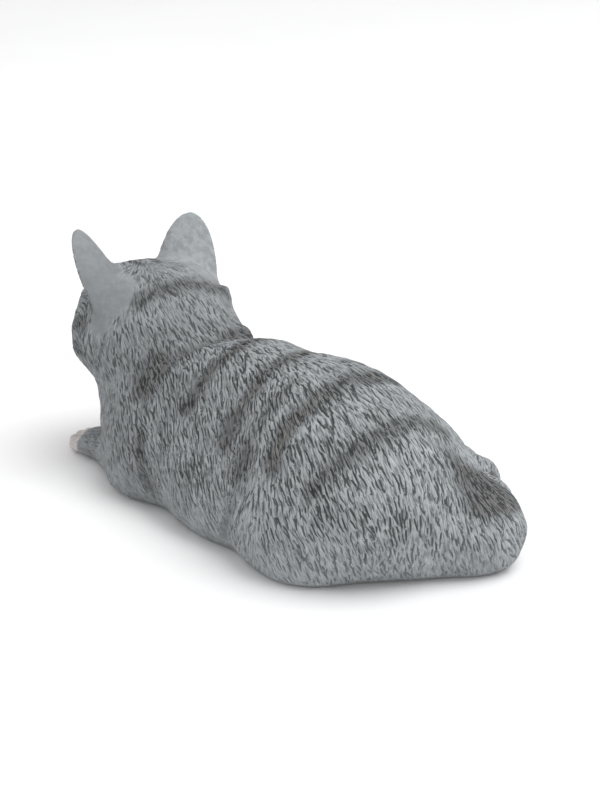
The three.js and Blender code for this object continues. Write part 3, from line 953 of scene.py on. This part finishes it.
@dataclass(frozen=True)
class Strokes:
    """The tool strokes that carve the fur: short tapered grooves that follow the coat."""

    coat: Coat
    length: float = 2.7
    half_width: float = 0.18
    spacing: float = 0.16
    candidates: int = 110000
    oval: float = 0.6
    shortest: float = 0.55
    longest: float = 1.25
    bending: float = 0.2
    straying: float = 0.16
    lightest: float = 0.35
    heaviest: float = 1.2
    seed: int = 11

    def starts(self, points: Array, normals: Array) -> tuple[Array, Array]:
        """Choose where strokes begin, spread evenly over the skin.

        Of many random points, each that comes first within its own oval is kept and its neighbours
        are dropped, until none is left. The oval's half sizes are the pitch, and part of a stroke's
        length.

        Args:
            points: Points on the skin.
            normals: Its normals there.

        Returns:
            The starts, and each one's pitch.
        """
        rng = np.random.default_rng(self.seed)
        furry = np.flatnonzero((self.coat.bare(points) < 0.9) & (points[:, 2] > 0.3))
        chosen = rng.choice(furry, min(len(furry), self.candidates), replace=False)
        p, n = points[chosen], normals[chosen]
        flow = self.coat.laid(p, n)
        pitch = self.coat.pitch(p)
        reach = self.length * self.oval
        a, b = near_pairs(p, p, reach)
        apart = p[b] - p[a]
        ahead = (apart * flow[a]).sum(1)
        aside = np.linalg.norm(apart - ahead[:, None] * flow[a], axis=1)
        clash = (ahead / reach) ** 2 + (aside / pitch[a]) ** 2 < 1
        kept = kept_apart(len(p), a[clash], b[clash], rng)
        return p[kept], pitch[kept]

    def grooves(self, points: Array, normals: Array) -> tuple[Array, Array, Array]:
        """Trace every stroke along the coat.

        Each step moves along the fur, turned by the stroke's own slight bend, and back onto the
        skin. The depth swells fast and fades slowly: the root of sin(pi t ** 0.8) at the share t
        along it.

        Args:
            points: Points on the skin.
            normals: Its normals there.

        Returns:
            Points along the grooves, their depths, and their half widths.
        """
        rng = np.random.default_rng(self.seed + 1)
        at, pitch = self.starts(points, normals)
        count = len(at)
        length = self.length * rng.uniform(self.shortest, self.longest, count)
        length = length * (pitch / self.coat.widest_pitch)
        bend = rng.normal(0, self.bending, count)
        heading = rng.normal(0, self.straying, count)
        strength = rng.uniform(self.lightest, self.heaviest, count)
        steps = int(self.length * self.longest / self.spacing) + 1
        traced, depths, widths = [], [], []
        for step in range(steps):
            at, normal = self.coat.body.settled(at, 1)
            share = step * self.spacing / length
            alive = share < 1
            swell = np.sqrt(np.sin(np.pi * np.clip(share, 0, 1) ** 0.8))
            deep = self.coat.depth(at) * swell * strength
            keep = alive & (deep > 0.01)
            traced.append(at[keep])
            depths.append(deep[keep])
            widths.append((self.half_width * (0.5 + 0.5 * swell) * (0.6 + 0.5 * strength))[keep])
            flow = self.coat.laid(at, normal)
            side = np.cross(normal, flow)
            turn = (heading + bend * (share - 0.5) * 2)[:, None]
            at = at + self.spacing * (flow * np.cos(turn) + side * np.sin(turn))
        log.info("%d strokes", count)
        return np.concatenate(traced), np.concatenate(depths), np.concatenate(widths)


@dataclass
class Carving:
    """Strokes pressed into points on the skin."""

    path: Array
    deep: Array
    wide: Array
    spread: float = 1.25

    def pressed(self, points: Array) -> Array:
        """Return how deep the strokes go at points on the skin.

        The deepest of the strokes near a point counts, each as its own depth times
        (1 - (r / w) ** 2) ** 1.5 at the distance r from its middle, with w its half width times the
        spread.
        """
        reach = float(self.wide.max()) * self.spread
        source, target = near_pairs(self.path, points, reach)
        apart = np.linalg.norm(self.path[source] - points[target], axis=1)
        across = np.clip(apart / (self.wide[source] * self.spread), 0, 1)
        press = self.deep[source] * (1 - across**2) ** 1.5
        result = np.zeros(len(points))
        np.maximum.at(result, target, press)
        return result


@dataclass(frozen=True)
class Paint:
    """Where each colour lies on the casting."""

    coat: Coat

    def stripes(self, points: Array) -> Array:
        """Return how dark the stripes make each point."""
        dark = np.zeros(len(points))
        for marking in STRIPES:
            dark = np.maximum(dark, marking.cover(points, self.coat.body))
        return np.maximum(dark, self.tail(points))

    def tail(self, points: Array) -> Array:
        """Return the dark rings of the tail, which also cover the rump next to its root."""
        x, y, z = points.T
        root = ramp((y - 37.2 + 0.12 * (x + 14)) / 0.8) * ramp(-(x + 8.5) / 1.2)
        root *= ramp((z - 11.6 - 0.16 * (x + 14)) / 0.35)
        along = 0.5 + 0.5 * np.sin((y * 0.9 - x * 0.5) * 0.62)
        far = ramp(-(x + 24.5) / 0.8) * (along > 0.5) * 0.9
        on_tail = np.zeros(len(points))
        for mass in self.coat.body.legs_and_tail():
            if isinstance(mass, Bone) and mass.blend == self.coat.body.tail_blend:
                on_tail = np.maximum(on_tail, np.clip(1 - mass.distance(points) / 0.4, 0, 1))
        return np.maximum(root * 0.95, far * on_tail)

    def white(self, points: Array) -> Array:
        """Return where the fur is white: paws, muzzle, chin, and one bib down to between the paws.

        The bib is as wide as a curve of its height says, on the front of the breast and throat.
        """
        x, y, z = points.T
        wide = np.interp(z, [0, 4, 10, 16, 20, 24, 25], [3.0, 4.6, 6.2, 5.0, 5.0, 4.2, 0.5])
        ahead = ramp((-38.3 + 0.10 * np.abs(x) - y) / 0.5)
        white = ramp((wide - np.abs(x - 0.6)) / 0.45) * ahead * ramp((24.8 - z) / 0.25)
        patches = [
            Egg(1, (10.2, -46.0, 1.8), (4.8, 4.6, 3.9)),
            Egg(1, (-8.8, -46.4, 1.8), (4.8, 4.6, 3.9)),
            Egg(1, (-37.0, 9.4, 6.0), (4.6, 5.0, 4.2), -25),
            Egg(1, (-21.2, -12.4, 2.0), (4.6, 4.0, 3.9), -10),
            Egg(1, (0, -48.4, 22.6), (4.9, 4.6, 2.7)),
        ]
        for patch in patches:
            white = np.maximum(white, np.clip(0.5 - patch.distance(points) / 1.2, 0, 1))
        return white


@dataclass(frozen=True)
class HairMap:
    """Flat coordinates in shares for the finest hairs: across the coat and along it."""

    coat: Coat
    patch: float = 3.4
    places: int = 12000
    seed: int = 5

    def spread(self, points: Array, normals: Array, faces: Array) -> Array:
        """Return the coordinates of every corner of every face.

        The skin falls into small patches round places that keep apart, and each face belongs to the
        place nearest to it that faces the same way. A corner's coordinates are its way from the
        place along the mean of the coat's directions there and here, and across it, moved by the
        patch's own random shift.

        Args:
            points: The mesh's points.
            normals: The skin's normals there.
            faces: Three point numbers for each face.

        Returns:
            Two numbers for each corner, face by face.
        """
        rng = np.random.default_rng(self.seed)
        flow = self.coat.laid(points, normals)
        some = rng.choice(len(points), self.places, replace=False)
        a, b = near_pairs(points[some], points[some], self.patch)
        facing = (normals[some[a]] * normals[some[b]]).sum(1) > 0.2
        home = some[kept_apart(len(some), a[facing], b[facing], rng)]
        middle = points[faces].mean(1)
        way = unit(normals[faces].mean(1))
        place, face = near_pairs(points[home], middle, self.patch * 1.5)
        apart = np.linalg.norm(points[home][place] - middle[face], axis=1)
        apart += 5 * (1 - (normals[home][place] * way[face]).sum(1))
        order = np.lexsort((apart, face))
        face, place = face[order], place[order]
        first = np.concatenate([[True], face[1:] != face[:-1]])
        owner = np.zeros(len(faces), int)
        owner[face[first]] = place[first]
        from_home = points[faces] - points[home[owner]][:, None, :]
        along = flow[faces] + flow[home[owner]][:, None, :]
        side = np.cross(normals, flow)
        across = side[faces] + side[home[owner]][:, None, :]
        flat = np.stack([(from_home * across).sum(-1), (from_home * along).sum(-1)], -1) / 2
        shift = rng.uniform(0, 200, (len(home), 2))
        log.info("%d patches of hair", len(home))
        return flat + shift[owner][:, None, :]


class Socket:
    """A value in a material's node tree, with the operators that add its Math nodes."""

    def __init__(self, tree: "Tree", socket: Any) -> None:
        """Wrap a socket of a tree."""
        self.tree = tree
        self.socket = socket

    def _math(self, operation: str, *values: Any) -> "Socket":
        """Return a Math node's result."""
        inputs = dict(enumerate(values))
        return self.tree.node("ShaderNodeMath", {"operation": operation}, inputs)

    def __add__(self, other: Any) -> "Socket":
        """Return the sum."""
        return self._math("ADD", self, other)

    __radd__ = __add__

    def __sub__(self, other: Any) -> "Socket":
        """Return the difference."""
        return self._math("SUBTRACT", self, other)

    def __rsub__(self, other: Any) -> "Socket":
        """Return the difference the other way round."""
        return self._math("SUBTRACT", other, self)

    def __mul__(self, other: Any) -> "Socket":
        """Return the product."""
        return self._math("MULTIPLY", self, other)

    __rmul__ = __mul__

    def __truediv__(self, other: Any) -> "Socket":
        """Return the quotient."""
        return self._math("DIVIDE", self, other)

    def __pow__(self, other: Any) -> "Socket":
        """Return the power."""
        return self._math("POWER", self, other)

    def __abs__(self) -> "Socket":
        """Return the size without the sign."""
        return self._math("ABSOLUTE", self)

    def largest(self, other: Any) -> "Socket":
        """Return the larger value."""
        return self._math("MAXIMUM", self, other)

    def step(self, low: float, high: float) -> "Socket":
        """Return 0 below low, 1 above high and a smooth rise between."""
        settings = {"interpolation_type": "SMOOTHSTEP"}
        return self.tree.node("ShaderNodeMapRange", settings, {0: self, 1: low, 2: high})


class Tree:
    """A material's nodes, made by one method."""

    def __init__(self, name: str) -> None:
        """Start a material with that name and no nodes."""
        self.material = bpy.data.materials.new(name)
        self.material.use_nodes = True
        self.nodes = self.material.node_tree.nodes
        self.links = self.material.node_tree.links
        self.nodes.clear()

    def node(
        self,
        kind: str,
        settings: dict[str, Any] | None = None,
        inputs: dict[Any, Any] | None = None,
        output: Any = 0,
    ) -> Socket:
        """Add a node.

        Args:
            kind: The node's type.
            settings: Its own settings.
            inputs: A value or another node's socket for each input.
            output: The name or number of the output wanted.

        Returns:
            That output.
        """
        node = self.nodes.new(kind)
        for key, value in (settings or {}).items():
            setattr(node, key, value)
        for key, value in (inputs or {}).items():
            if isinstance(value, Socket):
                self.links.new(value.socket, node.inputs[key])
            else:
                node.inputs[key].default_value = value
        return Socket(self, node.outputs[output] if len(node.outputs) else None)

    def mix(self, share: Any, first: Any, second: Any) -> Socket:
        """Return a mix of two colours by a share between 0 and 1."""
        inputs = {0: share, 6: first, 7: second}
        return self.node("ShaderNodeMix", {"data_type": "RGBA"}, inputs, 2)

    def noise(self, scale: float, detail: float) -> Socket:
        """Return a noise of about 0 to 1 on the object's own coordinates."""
        where = self.node("ShaderNodeTexCoord", output="Object")
        inputs = {"Vector": where, "Scale": scale, "Detail": detail, "Roughness": 0.55}
        return self.node("ShaderNodeTexNoise", None, inputs)

    def hairs(self, wide: float, long: float, detail: float = 1.0) -> Socket:
        """Return a noise drawn out along the coat, with its size across and along in shares."""
        flat = self.node("ShaderNodeUVMap", {"uv_map": "hair"}, output="UV")
        settings = {"operation": "MULTIPLY"}
        drawn = self.node("ShaderNodeVectorMath", settings, {0: flat, 1: (1 / wide, 1 / long, 1)})
        inputs = {"Vector": drawn, "Scale": 1.0, "Detail": detail, "Roughness": 0.5}
        inputs["Distortion"] = 0.25
        return self.node("ShaderNodeTexNoise", {"noise_dimensions": "2D"}, inputs)

    def place(self) -> list[Socket]:
        """Return a point's place on the object along each axis, in shares."""
        coords = self.node("ShaderNodeTexCoord", output="Object")
        return [
            self.node("ShaderNodeSeparateXYZ", None, {"Vector": coords}, axis) * (1 / SHARE)
            for axis in ("X", "Y", "Z")
        ]

    def attribute(self, name: str) -> Socket:
        """Return a value stored on the piece's points."""
        return self.node("ShaderNodeAttribute", {"attribute_name": name}, output="Fac")

    def finish(self, inputs: dict[str, Any]) -> Any:
        """Give the material its shader with those inputs and return it."""
        shader = self.node("ShaderNodeBsdfPrincipled", None, inputs)
        self.node("ShaderNodeOutputMaterial", None, {"Surface": shader})
        return self.material


def grey(value: float, warm: float = 0.0) -> Colour:
    """Return a linear grey, bluish at warm 0 and brownish at 1."""
    cold = np.array([0.94, 1.0, 1.035])
    brown = np.array([1.08, 1.0, 0.92])
    red, green, blue = value * (cold * (1 - warm) + brown * warm)
    return (float(red), float(green), float(blue), 1.0)


@dataclass(frozen=True)
class PaintedFace:
    """The colours of eyes, nose and mouth, laid on by a point's place as seen from ahead."""

    face: Face = Face()
    iris: Colour = (0.36, 0.33, 0.05, 1)
    iris_edge: Colour = (0.10, 0.10, 0.015, 1)
    black: Colour = (0.006, 0.006, 0.007, 1)
    lid: Colour = (0.42, 0.40, 0.38, 1)
    pink: Colour = (0.36, 0.155, 0.14, 1)
    pupil_long: float = 0.68
    pupil_tall: float = 1.35
    whiskers: tuple[tuple[float, float], ...] = (
        (1.9, 23.6),
        (2.8, 23.9),
        (3.7, 24.0),
        (2.2, 23.0),
        (3.2, 23.1),
        (4.1, 23.2),
    )

    def laid(self, tree: Tree, colour: Socket, rough: Socket) -> tuple[Socket, Socket]:
        """Lay the face over the coat's paint.

        The masks are the carving's own: |b| + a ** 2 for an eye, the root of the sum of squares for
        the nose pad, and the mouth's hanging line.

        Args:
            tree: The material's nodes.
            colour: The coat's colour.
            rough: Its roughness.

        Returns:
            Both with the face on them.
        """
        face = self.face
        x, y, z = tree.place()
        ahead = 1 - y.step(face.from_y - 0.2, face.from_y)
        turn = math.radians(face.eye_slant)
        aside, up = abs(x) - face.eye_x, z - face.eye_z
        along = aside * math.cos(turn) + up * math.sin(turn)
        across = up * math.cos(turn) - aside * math.sin(turn)
        a, b = along / face.eye_long, across / face.eye_tall
        almond = abs(b) + a * a
        lids = almond.step(1.3, 1.6) * (1 - almond.step(2.0, 2.6)) * ahead
        colour = tree.mix(lids * 0.7, colour, self.lid)
        colour = tree.mix((1 - almond.step(1.25, 1.45)) * ahead, colour, self.black)
        eye = (1 - almond.step(0.9, 1.0)) * ahead
        outwards = almond + (along * along + across * across) * 0.2
        iris = tree.mix(outwards.step(0.3, 1.1), self.iris, self.iris_edge)
        slit = (along / self.pupil_long) ** 2 + (across / self.pupil_tall) ** 2
        pupil = 1 - slit.step(0.85, 1.1)
        colour = tree.mix(eye, colour, tree.mix(pupil, iris, self.black))
        rise = (z - face.nose_z) / face.nose_tall
        wide = abs(x) / ((rise * 0.35 + 0.8) * face.nose_wide)
        pad = 1 - ((rise * rise + wide * wide) ** 0.5).step(0.98, 1.12)
        colour = tree.mix(pad * ahead, colour, self.pink)
        pit = ((abs(x) - face.pit_x) / face.pit_wide) ** 2
        pit = pit + ((rise * face.nose_tall + face.pit_drop) / face.pit_tall) ** 2
        colour = tree.mix((1 - pit.step(0.5, 1.1)) * pad * ahead, colour, self.black)
        share = tree.node("ShaderNodeClamp", None, {"Value": abs(x) / face.mouth_wide})
        hang = share * (math.pi * face.mouth_turn)
        drop = tree.node("ShaderNodeMath", {"operation": "SINE"}, {0: hang}) * face.mouth_hang
        lips = (1 - abs(z - face.mouth_z + drop).step(0.1, 0.26)) * (1 - abs(x).step(3.2, 3.5))
        split = (1 - abs(x).step(0.07, 0.2)) * z.step(22.1, 22.3) * (1 - z.step(24.3, 24.6))
        mouth = lips.largest(split) * ahead
        colour = tree.mix(mouth * 0.85, colour, grey(0.03, 0.6))
        for dot_x, dot_z in self.whiskers:
            spot = (abs(x) - dot_x) ** 2 + (z - dot_z) ** 2
            colour = tree.mix((1 - spot.step(0.01, 0.04)) * ahead * 0.8, colour, grey(0.05, 0.3))
        return colour, rough - eye * 0.6 - pad * ahead * 0.25


@dataclass(frozen=True)
class PaintedCasting:
    """Matt blue-grey paint with a dark wash in the strokes, soft stripes and white paws."""

    body_light: float = 0.385
    body_dark: float = 0.30
    ear: float = 0.345
    wash: float = 0.032
    stripe: float = 0.10
    white: Colour = (0.64, 0.60, 0.585, 1)
    white_wash: Colour = (0.3, 0.26, 0.25, 1)
    inner_ear: Colour = (0.30, 0.20, 0.19, 1)

    def material(self) -> Any:
        """Return the casting's material.

        Over a mottled grey lie light locks, lighter dry-brushed hairs that are partly a painted
        highlight, stripes with brown cores, white, and a dark wash where the carved strokes and the
        finest hairs leave gaps. Then come the ears, with painted shade on one side, and the face.
        """
        tree = Tree("painted_casting")
        stripe, white = tree.attribute("stripe"), tree.attribute("white")
        bare, ear = tree.attribute("bare"), tree.attribute("ear")
        broad = tree.noise(28.0, 3.0)
        mottle = tree.noise(160.0, 4.0)
        grain = tree.noise(900.0, 3.0)
        strands = tree.hairs(0.31, 2.2)
        locks = tree.hairs(0.8, 3.2)
        # Light and dark greys, with lighter locks, and lighter hairs that are dry-brushed paint and
        # partly a painted highlight on their raised ridges.
        base = tree.mix(broad.step(0.35, 0.65), grey(self.body_dark), grey(self.body_light))
        base = tree.mix(locks.step(0.45, 0.75) * 0.3, base, grey(self.body_light * 1.25))
        # Lighter where the hair noise is highest, which is where the bump raises the hairs: partly a
        # painted highlight.
        base = tree.mix(strands.step(0.56, 0.74) * 0.4, base, grey(self.body_light * 1.4))
        # Stripes, with brownish streaks in their cores, and then the white fur.
        edge = (stripe + (strands - 0.5) * 0.5 + (mottle - 0.5) * 0.3).step(0.12, 0.95)
        core = stripe.step(0.6, 1.0) * broad.step(0.36, 0.56)
        dark = tree.mix(core, grey(self.stripe, 0.15), grey(self.stripe * 0.85, 1.3))
        base = tree.mix(edge * stripe.step(0.02, 0.2) * 0.74, base, dark)
        streak = strands.step(0.6, 0.68) * core * mottle.step(0.5, 0.6)
        base = tree.mix(streak * 0.5, base, grey(0.36, 1.2))
        ragged = (white + (strands - 0.5) * 0.9 + (mottle - 0.5) * 0.3).step(0.42, 0.6)
        base = tree.mix(ragged, base, self.white)
        # Painted shade, darker from the shoulders forwards, and a thinner wash low down and on the
        # neck.
        furry = 1 - bare.step(0.15, 0.8)
        x, y, z = tree.place()
        # Painted shade: the grey darkens from the hips to the shoulders, a little less on the head.
        front = (1 - y.step(-20.0, 16.0)) * 0.34 - (1 - y.step(-30.0, -22.0)) * 0.1
        soft = (1 - z.step(2.0, 15.0)).largest((1 - y.step(-21.0, -9.0)) * 0.25)
        base = tree.mix(front * (1 - ragged), base, grey(0.13))
        strand = 1 - strands.step(0.38, 0.49)
        groove = (tree.attribute("groove") + (grain - 0.5) * 0.15).step(0.18, 0.66)
        wash = groove.largest(strand * furry * (0.58 + stripe * 0.5 - white * 0.2 - soft * 0.2))
        deep = tree.mix(white * 0.75, grey(self.wash, 0.1), self.white_wash)
        colour = tree.mix(wash * (0.84 + stripe * 0.1 - soft * 0.32), base, deep)
        # Smooth ears, with painted shade on one side of each, and the face.
        dull = mottle.step(0.38, 0.64) * 0.75
        shell = tree.mix(dull, grey(self.ear * 1.04), grey(self.ear * 0.74))
        # Painted shade: the right ear is darker towards the middle, and the left ear is darker all
        # over and most at its foot.
        turned = x.step(-7.5, -4.0) * 0.35 + x.step(-1.0, 1.0) * (0.5 - z.step(36.0, 45.0) * 0.35)
        shell = tree.mix(turned, shell, grey(self.ear * 0.6))
        colour = tree.mix((ear + (mottle - 0.5) * 0.5).step(0.3, 0.85), colour, shell)
        colour = tree.mix(tree.attribute("inner") * 0.8, colour, self.inner_ear)
        colour, rough = PaintedFace().laid(tree, colour, 0.7 + mottle * 0.14)
        # Hairs, pits and dents too fine to carve.
        pits = tree.noise(1500.0, 3.0)
        dents = tree.noise(230.0, 2.0) * ear
        height = strands * furry * 0.9 + grain * 0.16 + pits * 0.12 + dents * 0.9
        relief = {"Strength": 0.9, "Distance": 0.0013, "Height": height}
        bump = tree.node("ShaderNodeBump", None, relief, "Normal")
        return tree.finish(
            {
                "Base Color": colour,
                "Roughness": rough,
                "Specular IOR Level": 0.35,
                "Normal": bump,
            }
        )


@dataclass
class CatSkin:
    """The cat's whole skin with its carved coat, as one piece."""

    body: Body = field(default_factory=Body)
    net: SkinNet = field(default_factory=SkinNet)
    most_triangles: int = 192000
    full_groove: float = 0.25
    sharp_angle: float = 70.0

    def carved(self, coat: Coat) -> tuple[Array, Array, Carving]:
        """Net the skin, split its faces, and press the strokes in.

        Args:
            coat: The coat that lies on it.

        Returns:
            The vertices in shares, the faces, and the carving.
        """
        vertices, quads = self.net.woven(self.body)
        low = vertices[:, 2] < ON_FLOOR
        floor = low & (np.abs(self.body.distance(vertices)) > self.net.cell)
        vertices[~floor] = self.body.settled(vertices[~floor])[0]
        coarse = len(vertices)
        vertices, quads = split_faces(vertices, quads)
        low = vertices[:, 2] < ON_FLOOR
        keep = low & (np.abs(self.body.distance(vertices)) > self.net.cell / 2)
        moved, normals = vertices.copy(), np.zeros_like(vertices)
        normals[:, 2] = -1
        moved[~keep], normals[~keep] = self.body.settled(vertices[~keep], 1)
        log.info("net %d points, split %d", coarse, len(vertices))
        path, deep, wide = Strokes(coat).grooves(moved[~keep], normals[~keep])
        carving = Carving(path, deep, wide)
        press = np.zeros(len(moved))
        shaped = moved[~keep]
        press[~keep] = carving.pressed(shaped) + coat.tufts(shaped) + coat.folds(shaped)
        press[~keep] += coat.face.relief(shaped)
        press[moved[:, 2] < ON_FLOOR] = 0
        sunk = moved - normals * press[:, None]
        return np.clip(sunk, CAD_LOW / SHARE, CAD_HIGH / SHARE), quads, carving

    def made(self, coat: Coat) -> Any:
        """Build the piece's object, thin its faces out and store what the paint reads.

        Args:
            coat: The coat that lies on it.

        Returns:
            The piece.
        """
        vertices, quads, carving = self.carved(coat)
        mesh = bpy.data.meshes.new("fur_raw")
        mesh.vertices.add(len(vertices))
        mesh.vertices.foreach_set("co", (vertices * SHARE).astype(np.float32).ravel())
        mesh.loops.add(quads.size)
        mesh.loops.foreach_set("vertex_index", quads.astype(np.int32).ravel())
        mesh.polygons.add(len(quads))
        mesh.polygons.foreach_set("loop_start", np.arange(0, quads.size, 4, dtype=np.int32))
        mesh.update(calc_edges=True)
        raw = bpy.data.objects.new("fur_raw", mesh)
        bpy.context.collection.objects.link(raw)
        thin = raw.modifiers.new("thin", "DECIMATE")
        thin.ratio = self.most_triangles / (2 * len(quads))
        thin.use_collapse_triangulate = True
        graph = bpy.context.evaluated_depsgraph_get()
        final = bpy.data.meshes.new_from_object(raw.evaluated_get(graph))
        bpy.data.objects.remove(raw)
        final.name = "cat_skin"
        piece = bpy.data.objects.new("cat_skin", final)
        bpy.context.collection.objects.link(piece)
        final.polygons.foreach_set("use_smooth", np.ones(len(final.polygons), bool))
        final.set_sharp_from_angle(angle=math.radians(self.sharp_angle))
        self.boxed(final)
        self.dress(piece, coat, carving)
        log.info("skin %d points, %d triangles", len(final.vertices), len(final.polygons))
        return piece

    def boxed(self, mesh: Any) -> None:
        """Keep every point of the mesh inside the solid's own box."""
        flat = np.empty(len(mesh.vertices) * 3, np.float32)
        mesh.vertices.foreach_get("co", flat)
        inside = np.clip(flat.reshape(-1, 3), CAD_LOW, CAD_HIGH)
        mesh.vertices.foreach_set("co", inside.astype(np.float32).ravel())
        mesh.update()

    def dress(self, piece: Any, coat: Coat, carving: Carving) -> None:
        """Store what the paint reads on the piece's points and corners, and paint it.

        Args:
            piece: The piece.
            coat: The coat that lies on it.
            carving: The strokes in it.
        """
        mesh = piece.data
        flat = np.empty(len(mesh.vertices) * 3, np.float32)
        mesh.vertices.foreach_get("co", flat)
        points = flat.reshape(-1, 3) / SHARE
        paint = Paint(coat)
        on_skin = points.copy()
        normals = np.zeros_like(points)
        normals[:, 2] = -1
        clear_of_floor = 0.05
        above = points[:, 2] > clear_of_floor
        on_skin[above], normals[above] = self.body.settled(points[above], 1)
        values = {
            "groove": np.clip(carving.pressed(on_skin) / self.full_groove, 0, 1),
            "stripe": paint.stripes(on_skin),
            "white": paint.white(on_skin),
            "bare": coat.bare(on_skin),
            "ear": coat.ears(on_skin),
            "inner": coat.inner(on_skin, normals),
        }
        for name, value in values.items():
            layer = mesh.attributes.new(name, "FLOAT", "POINT")
            layer.data.foreach_set("value", value.astype(np.float32))
        corners = np.empty(len(mesh.polygons) * 3, np.int32)
        mesh.loops.foreach_get("vertex_index", corners)
        hair = HairMap(coat).spread(on_skin, normals, corners.reshape(-1, 3))
        mesh.uv_layers.new(name="hair").uv.foreach_set("vector", hair.astype(np.float32).ravel())
        mesh.materials.append(PaintedCasting().material())


@dataclass(frozen=True)
class Studio:
    """A pale floor, soft light and the camera at the photograph's angle, in metres and degrees."""

    target: Triple = (-0.0205, 0.01666, 0.09018)
    azimuth: float = 39.1
    elevation: float = 21.74
    distance: float = 1.16397
    lens: float = 71.2
    lit: Triple = (-0.03, 0.0, 0.06)
    key_at: Triple = (-1.2, 1.75, 4.6)
    key_size: float = 4.0
    key_power: float = 168.0
    room_light: float = 0.71
    floor_radius: float = 9.0
    floor_flat: float = 4.0
    floor_below: float = 0.0002
    floor_dull: Colour = (0.925, 0.925, 0.93, 1)
    floor_bright: Colour = (0.94, 0.94, 0.94, 1)

    def camera(self) -> None:
        """Place the camera and make it the scene's."""
        turn, rise = math.radians(self.azimuth), math.radians(self.elevation)
        back = np.array(
            [math.sin(turn) * math.cos(rise), math.cos(turn) * math.cos(rise), math.sin(rise)]
        )
        data = bpy.data.cameras.new("camera")
        data.lens = self.lens
        data.sensor_width = 36
        data.sensor_fit = "AUTO"
        data.clip_end = 20
        camera = bpy.data.objects.new("camera", data)
        camera.location = np.array(self.target) + self.distance * back
        camera.rotation_euler = (math.pi / 2 - rise, 0, math.pi - turn)
        bpy.context.collection.objects.link(camera)
        bpy.context.scene.camera = camera

    def light(self, name: str, at: Triple, size: float, power: float) -> None:
        """Place a round soft light that looks at the statue.

        Args:
            name: Its name.
            at: Where it hangs.
            size: Its width.
            power: Its power in watts.
        """
        data = bpy.data.lights.new(name, "AREA")
        data.shape = "DISK"
        data.size = size
        data.energy = power
        lamp = bpy.data.objects.new(name, data)
        lamp.location = at
        aim = np.array(self.lit) - np.array(at)
        flat = math.hypot(aim[0], aim[1])
        lamp.rotation_euler = (math.atan2(flat, -aim[2]), 0, math.atan2(-aim[0], aim[1]))
        bpy.context.collection.objects.link(lamp)

    def floor(self) -> None:
        """Lay a wide pale floor that curves up far behind into a backdrop all round.

        A disc whose height rises with the square of the way past its flat middle.
        """
        rings, spokes = 48, 96
        radius = np.linspace(0.0, self.floor_radius, rings)[1:]
        angle = np.linspace(0, 2 * np.pi, spokes, endpoint=False)
        x = radius[:, None] * np.cos(angle)
        y = radius[:, None] * np.sin(angle)
        rise = np.maximum(radius - self.floor_flat, 0) ** 2 * 0.35
        z = np.repeat(rise[:, None], spokes, 1)
        points = np.concatenate([np.zeros((1, 3)), np.stack([x, y, z], -1).reshape(-1, 3)])
        points[:, 2] -= self.floor_below
        ring = np.arange(spokes)
        ahead = (ring + 1) % spokes
        faces = [(0, 1 + int(i), 1 + int(j)) for i, j in zip(ring, ahead)]
        for row in range(rings - 2):
            low, high = 1 + row * spokes, 1 + (row + 1) * spokes
            band = np.stack([low + ring, high + ring, high + ahead, low + ahead], 1)
            faces.extend(map(tuple, band.tolist()))
        mesh = bpy.data.meshes.new("floor")
        mesh.from_pydata(points.tolist(), [], faces)
        mesh.polygons.foreach_set("use_smooth", np.ones(len(mesh.polygons), bool))
        floor = bpy.data.objects.new("floor", mesh)
        bpy.context.collection.objects.link(floor)
        tree = Tree("pale_floor")
        tone = tree.noise(3.0, 2.0).step(0.2, 0.8)
        colour = tree.mix(tone, self.floor_dull, self.floor_bright)
        mesh.materials.append(tree.finish({"Base Color": colour, "Roughness": 0.9}))

    def world(self) -> None:
        """Fill the room with even white light."""
        world = bpy.data.worlds.new("studio")
        world.use_nodes = True
        world.node_tree.nodes["Background"].inputs["Color"].default_value = (1, 1, 1, 1)
        strength = world.node_tree.nodes["Background"].inputs["Strength"]
        strength.default_value = self.room_light
        bpy.context.scene.world = world

    def built(self) -> None:
        """Set up floor, light and camera, with colours shown as they are."""
        self.floor()
        self.world()
        self.light("key", self.key_at, self.key_size, self.key_power)
        self.camera()
        bpy.context.scene.view_settings.view_transform = "Standard"


def main() -> None:
    """Build the cat and its studio."""
    logging.basicConfig(level=logging.INFO, format="%(message)s")
    skin = CatSkin()
    coat = Coat(skin.body)
    piece = skin.made(coat)
    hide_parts("cat")
    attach(piece, "root")
    Studio().built()


if __name__ == "__main__":
    main()
